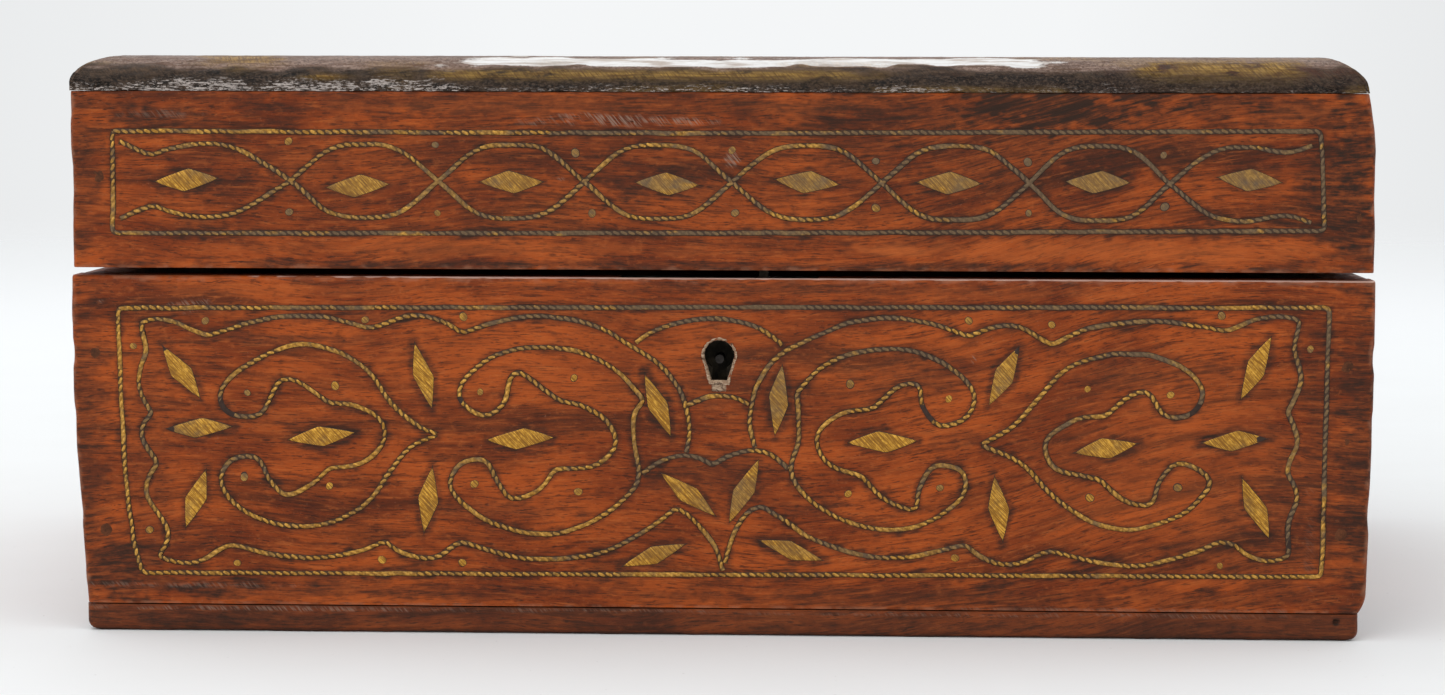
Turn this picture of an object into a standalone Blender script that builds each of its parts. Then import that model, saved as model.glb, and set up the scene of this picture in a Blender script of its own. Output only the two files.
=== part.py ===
"""Inlaid wooden box: a rosewood case with a hinged lid, a half-mortise link lock and brass wire inlay.

X runs along the front, -Y is the front, +Z is up. The origin is the centre of the underside.
"""

import math

import bmesh
import bpy
import numpy as np
from mathutils import Matrix, Vector

# Driving dimensions, in metres.
BASE_HALF_WIDTH = 0.1457
LID_HALF_WIDTH = 0.1453
BOTTOM_HALF_WIDTH = 0.1432
CASE_DEPTH = 0.200
PANEL = 0.010
BOTTOM_BOARD = 0.006
WORN_EDGE = 0.0012
BASE_TOP = 0.0806
MOUTH_GAP = 0.0018
LID_PANEL_HEIGHT = 0.0398
TOP_BOARD_HEIGHT = 0.008
JOINT = 0.0003
FIT = 0.00015
# How far a cutter starts outside the face that it cuts.
PAST = 0.0005

# The base narrows a little towards its foot, from handling and sanding.
TAPER = 0.0021
TAPER_FROM = 0.055

# Brass sheet bent over the rounded edge of the top board.
EDGE_SHEET = 0.0008
EDGE_REACH = 0.011
EDGE_RISE = 0.0065
EDGE_FLANGE = 0.003

# Butt hinges with three knuckles, let into the back edges.
HINGE_X = 0.085
HINGE_LENGTH = 0.036
HINGE_INSET = 0.00075
KNUCKLE_RADIUS = 0.0020
HINGE_PIN_RADIUS = 0.0008
HINGE_BORE_RADIUS = 0.00086
LEAF = 0.0007
MIDDLE_KNUCKLE = 0.012
KNUCKLE_GAP = 0.0002
LEAF_INNER = 0.0095
NOTCH_BACK = 0.0026
NOTCH_TIP = 0.0012
LEAF_LIFT = 0.0001
HINGE_SCREW_END = 0.0065
HINGE_SCREW_INSET = 0.0062
HINGE_SCREW_LENGTH = 0.008

# Wire inlay: width and depth of the wire, and of the groove that holds it.
WIRE_WIDTH = 0.0011
WIRE_DEPTH = 0.0009
GROOVE_WIDTH = WIRE_WIDTH + 2 * FIT
GROOVE_DEPTH = WIRE_DEPTH + FIT

# Nails that hold the corners.
NAIL_RADIUS = 0.0017
NAIL_LENGTH = 0.018

# Lock: the keyhole's centre, and the bolt's travel.
KEYHOLE_X = 0.0002
KEYHOLE_Z = 0.0633
KEYHOLE_RADIUS = 0.0034
KEYHOLE_SLOT_HALF = 0.00165
KEYHOLE_FOOT_Z = 0.0556
KEYHOLE_DEPTH = 0.0050
KEY_PIN_RADIUS = 0.0010
KEY_PIN_Z = 0.0622
STAPLE_X = 0.010

# Places that follow from them.
KNUCKLE_PROUD = KNUCKLE_RADIUS - HINGE_INSET
FRONT = -(CASE_DEPTH + KNUCKLE_PROUD) / 2
BACK = FRONT + CASE_DEPTH
LID_BOTTOM = BASE_TOP + MOUTH_GAP
LID_PANEL_TOP = LID_BOTTOM + LID_PANEL_HEIGHT
LID_TOP = LID_PANEL_TOP + TOP_BOARD_HEIGHT
EDGE_UPRIGHT = TOP_BOARD_HEIGHT - EDGE_RISE
AXIS_Y = BACK - HINGE_INSET
AXIS_Z = BASE_TOP + MOUTH_GAP / 2
INNER_HALF_WIDTH = BASE_HALF_WIDTH - PANEL

MM = 0.001

# Wire courses on the front, as (x, z) in millimetres. A course is a list of smooth runs that meet at cusps.
FRAME_LEFT = [
    [(-7, 42.3), (-6.4, 47), (-8, 54.5), (-13, 61), (-19.5, 65.4), (-26.5, 69.4), (-33, 71.2), (-40, 71.9),
     (-47, 71.2), (-53.5, 69.4), (-57.5, 68)],
    [(-57.5, 68), (-61, 70.2), (-64.5, 71.5), (-68.5, 72), (-72.5, 70.9), (-75.5, 69.7), (-78.5, 69)],
    [(-78.5, 69), (-83, 70.3), (-88, 71.4), (-94, 71.7), (-100, 71.2), (-106.5, 69.9), (-111, 68.3), (-115, 67)],
    [(-115, 67), (-118.5, 68.5), (-122, 70.2), (-126, 70.9), (-130, 70)],
    [(-130, 70), (-129.3, 66.8), (-128.8, 63.5), (-130, 60.5), (-130.6, 56), (-129.3, 52), (-127.5, 49.5)],
    [(-127.5, 49.5), (-129.5, 47.3), (-130.1, 45), (-129.3, 42.3), (-126.5, 38)],
    [(-126.5, 38), (-128.3, 35.5), (-129.2, 32.5), (-128.5, 29.5), (-124.8, 24), (-124.6, 20.5), (-126.7, 17)],
    [(-126.7, 17), (-124, 16), (-120, 15.4), (-116.2, 16.3), (-113.2, 18.3), (-110.5, 19.6), (-107, 19.1),
     (-102, 17.9), (-95, 17), (-88, 17.2), (-81, 18.6), (-75, 20.9)],
    [(-75, 20.9), (-72.5, 18.8), (-69.5, 17.6), (-65.6, 17), (-62.2, 17.9), (-60, 19.6), (-57.5, 20.9)],
    [(-57.5, 20.9), (-52, 19.2), (-46, 17.6), (-40, 17.1), (-32, 17.5), (-25, 19), (-19, 22), (-14, 25.2),
     (-9.6, 28.9)],
    [(-9.6, 28.9), (-7, 27.6), (-3.5, 24), (-0.5, 20), (1.3, 15.4)],
]
FRAME_RIGHT = [
    [(2.3, 19.2), (4, 24), (7, 28.3), (10, 29.5)],
    [(10, 29.5), (15, 26.3), (20, 22.8), (26, 20.4), (33, 18.4), (41, 18), (48, 19.2), (55.5, 21.2)],
    [(55.5, 21.2), (58, 19), (61.5, 17.2), (65.5, 16.7), (69, 17.4), (72, 19), (74.8, 19.8)],
    [(74.8, 19.8), (80, 18.5), (87, 17), (94, 16.7), (101, 18), (107, 20), (112, 22.2)],
    [(112, 22.2), (115.2, 21.6), (118, 19.4), (122, 18), (125.2, 18.2), (127.7, 19.2)],
    [(127.7, 19.2), (127.1, 25.5), (129, 31.6), (128.3, 35), (126.7, 37.6)],
    [(126.7, 37.6), (127.3, 40.5), (128.9, 44.5), (128, 48.8), (126.4, 51.3)],
    [(126.4, 51.3), (127.7, 53.8), (129.5, 58.5), (128.4, 63.3), (127.8, 66), (129.1, 71.8)],
    [(129.1, 71.8), (126.5, 72.5), (123, 72.6), (119, 71.9), (115.5, 70.4), (112.6, 69.4)],
    [(112.6, 69.4), (106, 70.5), (99, 71.4), (91, 71.1), (83, 70), (78.5, 68.3), (74.3, 66.1)],
    [(74.3, 66.1), (71.5, 67.7), (68, 69.8), (64.5, 70.4), (60.5, 69.7), (55.8, 67.8)],
    [(55.8, 67.8), (52, 69.4), (46, 71), (39, 71.9), (31, 71.2), (25, 69.2), (18, 66), (12.5, 62.3), (8.7, 56.5),
     (7, 49), (7.9, 44)],
]
PALMETTE_OUTER_LEFT = [
    [(-62.9, 45.1), (-67.5, 47), (-73.7, 52.4), (-78, 58.7), (-84.2, 63.1), (-93, 65.3), (-99.8, 63.7),
     (-106.6, 60.1), (-111.6, 55.6), (-111.8, 51.5), (-109, 49.2), (-103.3, 49.4), (-100.8, 53.4), (-98.5, 57.1),
     (-94, 56.6), (-87.5, 52.1)],
    [(-87.5, 52.1), (-81.4, 51.5), (-76.5, 48.8), (-74.9, 45.2), (-76.5, 41.5), (-81, 38.3), (-87.6, 37.4)],
    [(-87.6, 37.4), (-91.7, 33.5), (-97.5, 31.2), (-101.2, 34.6), (-103.7, 39.4), (-109.1, 39.5), (-112.3, 35.4),
     (-110.5, 30.5), (-104, 26), (-95.5, 24), (-86.5, 25.3), (-79, 29.8), (-74.2, 36.3), (-69.5, 42),
     (-62.9, 45.1)],
]
PALMETTE_INNER_LEFT = [
    [(-16.6, 53.3), (-22.2, 59.3), (-30, 63.6), (-40, 65), (-49.5, 63.2), (-56.5, 58.2), (-57.9, 53),
     (-52.7, 49.4), (-48, 52.3), (-46.5, 58), (-43.8, 58.9), (-36.1, 53.4), (-30, 51.6), (-24.5, 48),
     (-23.2, 42.5), (-28, 38.2), (-36.6, 37.5)],
    [(-36.6, 37.5), (-40.2, 32.8), (-46.3, 30.7), (-49.2, 34), (-52.5, 39.4), (-58, 38.5), (-60.4, 33.5),
     (-55.8, 28.1), (-47.4, 23.9), (-37, 22.8), (-27.4, 26.1), (-19.9, 32), (-17.7, 36.5), (-18.8, 44),
     (-18.7, 50), (-16.6, 53.3)],
]
PALMETTE_INNER_RIGHT = [
    [(17.6, 55), (23.2, 60.9), (32, 64.4), (43, 64.6), (51.9, 60.9), (57.1, 55.1), (55.3, 49.6), (49.5, 47.9),
     (45.7, 52.3), (44.6, 57.1), (40, 56.3), (34.8, 51.6)],
    [(34.8, 51.6), (27.7, 50.4), (22.3, 45.6), (24.3, 39.5), (32.3, 36.3)],
    [(32.3, 36.3), (37.2, 31.3), (43.9, 29), (45, 33.5), (48.3, 38.7), (54.3, 37.8), (55, 32.5), (48.4, 26.7),
     (39.5, 24.4), (29.4, 26), (21.6, 30.1), (16.5, 36.8), (18.1, 45.2), (17.6, 55)],
]
PALMETTE_OUTER_RIGHT = [
    [(58.7, 43.7), (65.8, 47.7), (71.3, 54), (77.6, 60.8), (86, 63.7), (95, 64), (103.1, 61.2), (107.9, 56),
     (105.4, 50.9), (99.5, 50.4), (95.9, 55.4), (91.5, 54.6), (86.2, 50.1)],
    [(86.2, 50.1), (80, 49.4), (73.4, 44.8), (75.2, 38.5), (85.3, 36.1)],
    [(85.3, 36.1), (90.2, 31.7), (96.5, 30.5), (98.6, 36), (103, 39.8), (109.7, 36), (106.2, 30.3), (99.6, 26.6),
     (91.4, 24.8), (82.5, 27), (74.6, 32.5), (68.1, 39.2), (58.7, 43.7)],
]
HEART = [
    [(-16, 37.3), (-12.8, 39.5), (-8, 40.8), (-4, 40.1), (-1.3, 38.5)],
    [(-1.3, 38.5), (2, 40.5), (7, 41.9), (11.7, 41.3), (14.7, 39)],
]
ARCH_ABOVE = [[(-17.2, 67), (-13, 69.3), (-7, 71), (0, 71.5), (6, 70.6), (10.5, 68.8), (13.4, 66.7)]]
ARCH_BELOW = [[(-5, 53), (-1.6, 54.2), (3, 54), (6, 52.9)]]
BASE_BORDER = [
    [(-135.2, 73.3), (0, 74.1), (135.4, 74.7)], [(135.4, 74.7), (134.8, 14.5)], [(134.8, 14.5), (-130.4, 13.2)],
    [(-130.4, 13.2), (-132.6, 23), (-134.1, 40), (-135.2, 73.3)],
]
LID_BORDER = [
    [(-135.7, 113), (0, 112.9), (132.9, 113.7)], [(132.9, 113.7), (134, 91.7)],
    [(134, 91.7), (0, 90.7), (-136, 90.1)], [(-136, 90.1), (-135.7, 113)],
]
# The two strands of the lid's chain cross at these x; each bows up or down between them, to these z.
CHAIN_CROSSINGS = [-95.8, -62.6, -29.9, 3.0, 36.3, 68.8, 99.8]
CHAIN_MIDDLE, CHAIN_BOW = 102, 8.2
CHAIN_ENDS = (-134.2, 131)
CHAIN_TURNS = (-115.5, 117)

METALS = {
    "old_brass": ((0.42, 0.30, 0.09), 0.42),
    "dark_brass": ((0.12, 0.09, 0.05), 0.55),
    "iron": ((0.10, 0.09, 0.08), 0.6),
}
WOODS = {
    "rosewood": (0.33, 0.085, 0.03),
    "dark_rosewood": (0.20, 0.06, 0.03),
}


def clear_scene():
    for old in list(bpy.data.objects):
        bpy.data.objects.remove(old, do_unlink=True)


def make_collection(name, hidden=False):
    made = bpy.data.collections.new(name)
    made.hide_render = hidden
    bpy.context.scene.collection.children.link(made)
    return made


def make_material(name, colour, roughness, metallic):
    made = bpy.data.materials.new(name)
    made.use_nodes = True
    shader = made.node_tree.nodes["Principled BSDF"]
    shader.inputs["Base Color"].default_value = (*colour, 1)
    shader.inputs["Roughness"].default_value = roughness
    shader.inputs["Metallic"].default_value = metallic
    return made


def make_materials():
    made = {name: make_material(name, colour, 0.5, 0.0) for name, colour in WOODS.items()}
    for name, (colour, roughness) in METALS.items():
        made[name] = make_material(name, colour, roughness, 1.0)
    return made


def as_part(obj, material, body=None):
    """Names the object a part of the box, and hangs it on its moving body's empty where it has one."""
    PARTS.objects.link(obj)
    obj.data.materials.clear()
    obj.data.materials.append(MATERIALS[material])
    if body:
        bpy.context.view_layer.update()
        obj.parent = body
        obj.matrix_parent_inverse = body.matrix_world.inverted()
    return obj


def as_cutter(obj):
    CUTTERS.objects.link(obj)
    obj.hide_render = True
    obj.display_type = "WIRE"
    return obj


def mesh_object(name, build):
    """A new mesh object from a function that fills a bmesh."""
    bm = bmesh.new()
    build(bm)
    bmesh.ops.recalc_face_normals(bm, faces=bm.faces)
    mesh = bpy.data.meshes.new(name)
    bm.to_mesh(mesh)
    bm.free()
    return bpy.data.objects.new(name, mesh)


def box(name, low, high):
    low, high = Vector(low), Vector(high)
    place = Matrix.Translation((low + high) / 2) @ Matrix.Diagonal((*(high - low), 1))
    return mesh_object(name, lambda bm: bmesh.ops.create_cube(bm, size=1, matrix=place))


def cylinder(name, start, end, radius, sides=12):
    start, end = Vector(start), Vector(end)
    turn = (end - start).to_track_quat("Z", "Y").to_matrix().to_4x4()
    place = Matrix.Translation((start + end) / 2) @ turn

    def build(bm):
        bmesh.ops.create_cone(bm, cap_ends=True, segments=sides, radius1=radius, radius2=radius,
                              depth=(end - start).length, matrix=place)

    made = mesh_object(name, build)
    made.data.shade_smooth()
    made.data.set_sharp_from_angle(angle=math.radians(40))
    return made


def from_curve(curve_object):
    """The curve as a welded mesh object, with the same name and place."""
    scene_objects = bpy.context.scene.collection.objects
    scene_objects.link(curve_object)
    bpy.context.view_layer.update()
    graph = bpy.context.evaluated_depsgraph_get()
    mesh = bpy.data.meshes.new_from_object(curve_object.evaluated_get(graph))
    bm = bmesh.new()
    bm.from_mesh(mesh)
    bmesh.ops.remove_doubles(bm, verts=bm.verts, dist=1e-6)
    bmesh.ops.recalc_face_normals(bm, faces=bm.faces)
    bm.to_mesh(mesh)
    bm.free()
    name = curve_object.name
    place = curve_object.matrix_world.copy()
    bpy.data.objects.remove(curve_object, do_unlink=True)
    made = bpy.data.objects.new(name, mesh)
    made.matrix_world = place
    return made


PLANES = {
    "XY": (0, 0, 0),
    "XZ": (math.pi / 2, 0, 0),
    "YZ": (math.pi / 2, 0, math.pi / 2),
}


def curve_object(name, outlines, cyclic, extrude, fill, plane, along):
    """A flat curve of straight steps in the plane, at a distance along the plane's own normal."""
    curve = bpy.data.curves.new(name, "CURVE")
    curve.dimensions = "2D"
    curve.fill_mode = fill
    curve.extrude = extrude
    for outline in outlines:
        spline = curve.splines.new("POLY")
        spline.points.add(len(outline) - 1)
        for point, (u, v) in zip(spline.points, outline):
            point.co = (u, v, 0, 1)
        spline.use_cyclic_u = cyclic
    made = bpy.data.objects.new(name, curve)
    made.rotation_euler = PLANES[plane]
    made.location = {"XY": (0, 0, along), "XZ": (0, along, 0), "YZ": (along, 0, 0)}[plane]
    return made


def plate(name, plane, outlines, low, high):
    """A flat outline, with any holes after it, made solid from low to high along the plane's normal."""
    flat = curve_object(name, outlines, True, (high - low) / 2, "BOTH", plane, (low + high) / 2)
    return from_curve(flat)


def turned(name, profile, steps=10):
    """A profile of (radius, height) points, spun about Z."""
    def build(bm):
        points = [bm.verts.new((radius, 0, height)) for radius, height in profile]
        for above, below in zip(points, points[1:]):
            bm.edges.new((above, below))

    made = mesh_object(name, build)
    screw = made.modifiers.new("turn", "SCREW")
    screw.steps = steps
    screw.render_steps = steps
    screw.use_merge_vertices = True
    screw.merge_threshold = 0.00001
    screw.use_smooth_shade = False
    return made


def boolean(obj, other, operation="DIFFERENCE", solver="EXACT"):
    modifier = obj.modifiers.new(other.name, "BOOLEAN")
    modifier.operation = operation
    modifier.solver = solver
    modifier.object = other


def mirrored(outline):
    """The outline on the other side of X = 0, in the same turning sense."""
    return [(-x, z) for x, z in reversed(outline)]


def smooth_run(points, step=0.3):
    """A run's points as a Catmull-Rom curve, sampled about every step millimetres."""
    points = np.array(points, float)
    padded = np.vstack([2 * points[0] - points[1], points, 2 * points[-1] - points[-2]])
    samples = []
    for a, b, c, d in zip(padded, padded[1:], padded[2:], padded[3:]):
        count = max(2, int(np.linalg.norm(c - b) / step))
        t = np.linspace(0, 1, count, endpoint=False)[:, None]
        samples.append(0.5 * (2 * b + (c - a) * t + (2 * a - 5 * b + 4 * c - d) * t ** 2
                              + (3 * b - a - 3 * c + d) * t ** 3))
    return np.vstack(samples + [points[-1:]])


def evenly(course, closed, step=0.3):
    """The whole course at even steps."""
    line = np.vstack([smooth_run(run) for run in course])
    length = np.concatenate([[0], np.cumsum(np.linalg.norm(np.diff(line, axis=0), axis=1))])
    at = np.linspace(0, length[-1], int(length[-1] / step), endpoint=not closed)
    return np.column_stack([np.interp(at, length, line[:, 0]), np.interp(at, length, line[:, 1])])


def eased(line, closed, reach=6):
    """The line with its cusps rounded, as a wire bends, by a running mean over its neighbours."""
    weights = np.ones(2 * reach + 1) / (2 * reach + 1)
    for _ in range(2):
        if closed:
            padded = np.vstack([line[-reach:], line, line[:reach]])
        else:
            ends = [2 * line[0] - line[reach:0:-1], 2 * line[-1] - line[-2:-reach - 2:-1]]
            padded = np.vstack([ends[0], line, ends[1]])
        line = np.column_stack([np.convolve(padded[:, i], weights, "valid") for i in (0, 1)])
    return line


def thinned(line, tolerance=0.2):
    """The fewest of the line's points that keep it within the tolerance."""
    first, last = line[0], line[-1]
    chord = last - first
    length = np.linalg.norm(chord)
    if length < 1e-9:
        off = np.linalg.norm(line - first, axis=1)
    else:
        off = np.abs(chord[0] * (line[:, 1] - first[1]) - chord[1] * (line[:, 0] - first[0])) / length
    worst = int(np.argmax(off))
    if off[worst] <= tolerance or len(line) < 3:
        return [tuple(first), tuple(last)]
    return thinned(line[:worst + 1], tolerance)[:-1] + thinned(line[worst:], tolerance)


def wire_line(course, closed=False):
    line = eased(evenly(course, closed), closed)
    if not closed:
        return [(x * MM, z * MM) for x, z in thinned(line)]
    ring = thinned(np.vstack([line, line[:1]]))[:-1]
    return [(x * MM, z * MM) for x, z in ring]


def band(name, line, closed, width, low, high):
    """A strip of metal standing on edge along the line, from low to high in Y."""
    ribbon = from_curve(curve_object(name, [line], closed, (high - low) / 2, "NONE", "XZ", (low + high) / 2))
    solid = ribbon.modifiers.new("width", "SOLIDIFY")
    solid.thickness = width
    solid.offset = 0
    return ribbon


def lay_wire(name, course, panel, closed=False, body=None):
    """A wire hammered flush into its own groove in a panel's front."""
    line = wire_line(course, closed)
    as_part(band(name, line, closed, WIRE_WIDTH, FRONT, FRONT + WIRE_DEPTH), "old_brass", body)
    groove = as_cutter(band("groove_" + name, line, closed, GROOVE_WIDTH, FRONT - PAST, FRONT + GROOVE_DEPTH))
    boolean(panel, groove, solver="MANIFOLD")


def half_width(z):
    """The base's half width at a height."""
    below = max(0.0, TAPER_FROM - z) / (TAPER_FROM - BOTTOM_BOARD)
    return BASE_HALF_WIDTH - TAPER * below ** 1.2


def base_side_line():
    """The outer face of the base's right side, from the foot up."""
    foot = BOTTOM_BOARD + JOINT
    heights = [foot + (TAPER_FROM - foot) * i / 5 for i in range(6)] + [BASE_TOP]
    return [(half_width(z), z) for z in heights]


def make_base_panels():
    side = base_side_line()
    ends = side + mirrored(side)
    front = as_part(plate("base_front_panel", "XZ", [ends], FRONT, FRONT + PANEL), "rosewood")
    back = as_part(plate("base_back_panel", "XZ", [ends], BACK - PANEL, BACK), "rosewood")
    wall = side + [(INNER_HALF_WIDTH, BASE_TOP), (INNER_HALF_WIDTH, side[0][1])]
    low, high = FRONT + PANEL + JOINT, BACK - PANEL - JOINT
    right = as_part(plate("base_right_panel", "XZ", [wall], low, high), "rosewood")
    left = as_part(plate("base_left_panel", "XZ", [mirrored(wall)], low, high), "rosewood")
    return front, back, left, right


def make_bottom_board():
    board = box("bottom_board", (-BOTTOM_HALF_WIDTH, FRONT, 0), (BOTTOM_HALF_WIDTH, BACK, BOTTOM_BOARD))
    as_part(board, "dark_rosewood")
    rounding = board.modifiers.new("worn_edges", "BEVEL")
    rounding.width = WORN_EDGE
    rounding.segments = 2
    rounding.limit_method = "ANGLE"


def make_lid_panels():
    top = LID_PANEL_TOP - JOINT
    low, high = FRONT + PANEL + JOINT, BACK - PANEL - JOINT
    inner = LID_HALF_WIDTH - PANEL
    front = box("lid_front_panel", (-LID_HALF_WIDTH, FRONT, LID_BOTTOM), (LID_HALF_WIDTH, FRONT + PANEL, top))
    back = box("lid_back_panel", (-LID_HALF_WIDTH, BACK - PANEL, LID_BOTTOM), (LID_HALF_WIDTH, BACK, top))
    left = box("lid_left_panel", (-LID_HALF_WIDTH, low, LID_BOTTOM), (-inner, high, top))
    right = box("lid_right_panel", (inner, low, LID_BOTTOM), (LID_HALF_WIDTH, high, top))
    return [as_part(panel, "rosewood", LID) for panel in (front, back, left, right)]


def edge_line(inset, steps=7):
    """The rounded edge's section as (distance in from the face, height), from the lower lip to the flat top."""
    points = [(inset, LID_PANEL_TOP)]
    for i in range(steps + 1):
        turn = math.pi / 2 * i / steps
        inward = inset + (EDGE_REACH - inset) * (1 - math.cos(turn))
        points.append((inward, LID_PANEL_TOP + EDGE_UPRIGHT + (EDGE_RISE - inset) * math.sin(turn)))
    return points


def pillow(edge, low, high):
    """A section right across the top board, from one outer face to the other."""
    near = [(low + inward, height) for inward, height in edge]
    far = [(high - inward, height) for inward, height in reversed(edge)]
    return near + far


def make_top_board():
    edge = edge_line(EDGE_SHEET + FIT)
    across = pillow(edge, -LID_HALF_WIDTH, LID_HALF_WIDTH)
    board = as_part(plate("top_board", "XZ", [across], FRONT, BACK), "dark_rosewood", LID)
    along = pillow(edge, FRONT, BACK)
    whole = 2 * LID_HALF_WIDTH
    boolean(board, as_cutter(plate("top_board_fore_and_aft", "YZ", [along], -whole, whole)), "INTERSECT")
    return board


def make_edge_strip(name, plane, start, inward, low, high, mitre):
    """One brass edge strip: the sheet's section run along its side, with both ends mitred."""
    outer = edge_line(0)
    outer.append((EDGE_REACH + EDGE_FLANGE, LID_TOP))
    inner = edge_line(EDGE_SHEET)
    inner.append((EDGE_REACH + EDGE_FLANGE, LID_TOP - EDGE_SHEET))
    section = [(start + inward * u, height) for u, height in outer + inner[::-1]]
    strip = as_part(plate(name, plane, [section], low, high), "dark_brass", LID)
    low_cut, high_cut = LID_PANEL_TOP - EDGE_REACH, LID_TOP + EDGE_REACH
    boolean(strip, as_cutter(plate("mitre_" + name, "XY", [mitre], low_cut, high_cut)), "INTERSECT")


def make_edge_strips():
    """Four strips round the lid. Each mitre runs in at 45 degrees, from outside the lip to past the flange."""
    over, reach = 0.001, EDGE_REACH + EDGE_FLANGE + 0.004
    gap = FIT * math.sqrt(2)
    half = LID_HALF_WIDTH
    for name, start, inward in (("edge_strip_front", FRONT, 1), ("edge_strip_back", BACK, -1)):
        outside, inside = start - over * inward, start + reach * inward
        mitre = [(-half - over + gap, outside), (half + over - gap, outside),
                 (half - reach - gap, inside), (gap + reach - half, inside)]
        make_edge_strip(name, "YZ", start, inward, -half, half, mitre)
    for name, start, inward in (("edge_strip_left", -half, 1), ("edge_strip_right", half, -1)):
        outside, inside = start - over * inward, start + reach * inward
        mitre = [(outside, FRONT - over + gap), (outside, BACK + over - gap),
                 (inside, BACK - reach - gap), (inside, FRONT + reach + gap)]
        make_edge_strip(name, "XZ", start, inward, FRONT, BACK, mitre)


def chain_strand(first_bow):
    """One strand of the lid's chain, as a course of a single smooth run."""
    points = [(CHAIN_ENDS[0], CHAIN_MIDDLE + first_bow * (CHAIN_BOW + 0.5))]
    points.append((CHAIN_ENDS[0] + 7, CHAIN_MIDDLE + first_bow * (CHAIN_BOW - 2.4)))
    turns = [CHAIN_TURNS[0]]
    turns += [(a + b) / 2 for a, b in zip(CHAIN_CROSSINGS, CHAIN_CROSSINGS[1:])]
    turns.append(CHAIN_TURNS[1])
    bow = first_bow
    for turn, crossing in zip(turns, CHAIN_CROSSINGS + [None]):
        for offset, share in ((-8, 0.84), (0, 1), (8, 0.84)):
            points.append((turn + offset, CHAIN_MIDDLE + bow * CHAIN_BOW * share))
        if crossing is not None:
            points.append((crossing, CHAIN_MIDDLE))
        bow = -bow
    points.append((CHAIN_ENDS[1], CHAIN_MIDDLE - bow * (CHAIN_BOW + 0.3)))
    return [points]


def make_chain_wire(panel):
    """Both strands, joined where they cross, in one groove."""
    strands = [wire_line(chain_strand(sign)) for sign in (1, -1)]
    chain = band("lid_chain_wire", strands[0], False, WIRE_WIDTH, FRONT, FRONT + WIRE_DEPTH)
    other = as_cutter(band("lid_chain_second_strand", strands[1], False, WIRE_WIDTH, FRONT, FRONT + WIRE_DEPTH))
    boolean(as_part(chain, "old_brass", LID), other, "UNION", solver="MANIFOLD")
    for number, strand in enumerate(strands):
        groove = band(f"groove_chain_{number}", strand, False, GROOVE_WIDTH, FRONT - PAST, FRONT + GROOVE_DEPTH)
        boolean(panel, as_cutter(groove), solver="MANIFOLD")


def make_base_inlay(panel):
    lay_wire("base_border_wire", BASE_BORDER, panel, closed=True)
    lay_wire("frame_wire_left", FRAME_LEFT, panel)
    lay_wire("frame_wire_right", FRAME_RIGHT, panel)
    lay_wire("palmette_wire_outer_left", PALMETTE_OUTER_LEFT, panel, closed=True)
    lay_wire("palmette_wire_inner_left", PALMETTE_INNER_LEFT, panel, closed=True)
    lay_wire("palmette_wire_inner_right", PALMETTE_INNER_RIGHT, panel, closed=True)
    lay_wire("palmette_wire_outer_right", PALMETTE_OUTER_RIGHT, panel, closed=True)
    lay_wire("heart_wire", HEART, panel)
    lay_wire("keyhole_arch_wire_above", ARCH_ABOVE, panel)
    lay_wire("keyhole_arch_wire_below", ARCH_BELOW, panel)


def drive_nail(name, x, z, face, inward, panels, body=None):
    """A nail through a front or back panel into the side panel's end."""
    nail = cylinder(name, (x, face, z), (x, face + inward * NAIL_LENGTH, z), NAIL_RADIUS)
    as_part(nail, "iron", body)
    start, end = face - inward * 0.001, face + inward * (NAIL_LENGTH + JOINT)
    hole = as_cutter(cylinder("hole_" + name, (x, start, z), (x, end, z), NAIL_RADIUS + FIT))
    for panel in panels:
        boolean(panel, hole)


def make_base_nails(front, back, left, right):
    places = {
        "base_nail_front_left_upper": (-0.1402, 0.0629, FRONT, 1, (front, left)),
        "base_nail_front_left_lower": (-0.1385, 0.0230, FRONT, 1, (front, left)),
        "base_nail_front_right_upper": (0.1396, 0.0616, FRONT, 1, (front, right)),
        "base_nail_front_right_lower": (0.1388, 0.0240, FRONT, 1, (front, right)),
        "base_nail_back_left_upper": (-0.1400, 0.0620, BACK, -1, (back, left)),
        "base_nail_back_left_lower": (-0.1388, 0.0220, BACK, -1, (back, left)),
        "base_nail_back_right_upper": (0.1400, 0.0600, BACK, -1, (back, right)),
        "base_nail_back_right_lower": (0.1388, 0.0230, BACK, -1, (back, right)),
    }
    for name, place in places.items():
        drive_nail(name, *place)


def make_lid_nails(front, back, left, right):
    places = {
        "lid_nail_front_left": (-0.1390, 0.1029, FRONT, 1, (front, left)),
        "lid_nail_front_right": (0.1420, 0.1096, FRONT, 1, (front, right)),
        "lid_nail_back_left": (-0.1400, 0.1020, BACK, -1, (back, left)),
        "lid_nail_back_right": (0.1400, 0.1030, BACK, -1, (back, right)),
    }
    for name, place in places.items():
        drive_nail(name, *place, body=LID)


SCREW_HEAD = 0.0016
SCREW_HOLE = SCREW_HEAD + FIT
SCREW_SHANK = 0.0008
SCREW_RIM = 0.0003
SCREW_POINT = 0.001


def drive_screw(name, at, axis, length, panel, body=None):
    """A countersunk screw with its head's face at a point, driven along the axis."""
    profile = [(0, 0), (SCREW_HEAD, 0), (SCREW_HEAD, -SCREW_RIM), (SCREW_SHANK, -LEAF),
               (SCREW_SHANK, SCREW_POINT - length), (0, -length)]
    at, axis = Vector(at), Vector(axis)
    screw = turned(name, profile)
    screw.rotation_euler = (-axis).to_track_quat("Z", "Y").to_euler()
    screw.location = at
    as_part(screw, "old_brass", body)
    pilot = cylinder("pilot_" + name, at, at + axis * (length + JOINT), SCREW_SHANK + FIT, sides=8)
    boolean(panel, as_cutter(pilot))


def circle(x, y, radius, sides=12):
    turns = [2 * math.pi * i / sides for i in range(sides)]
    return [(x + radius * math.cos(turn), y + radius * math.sin(turn)) for turn in turns]


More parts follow.
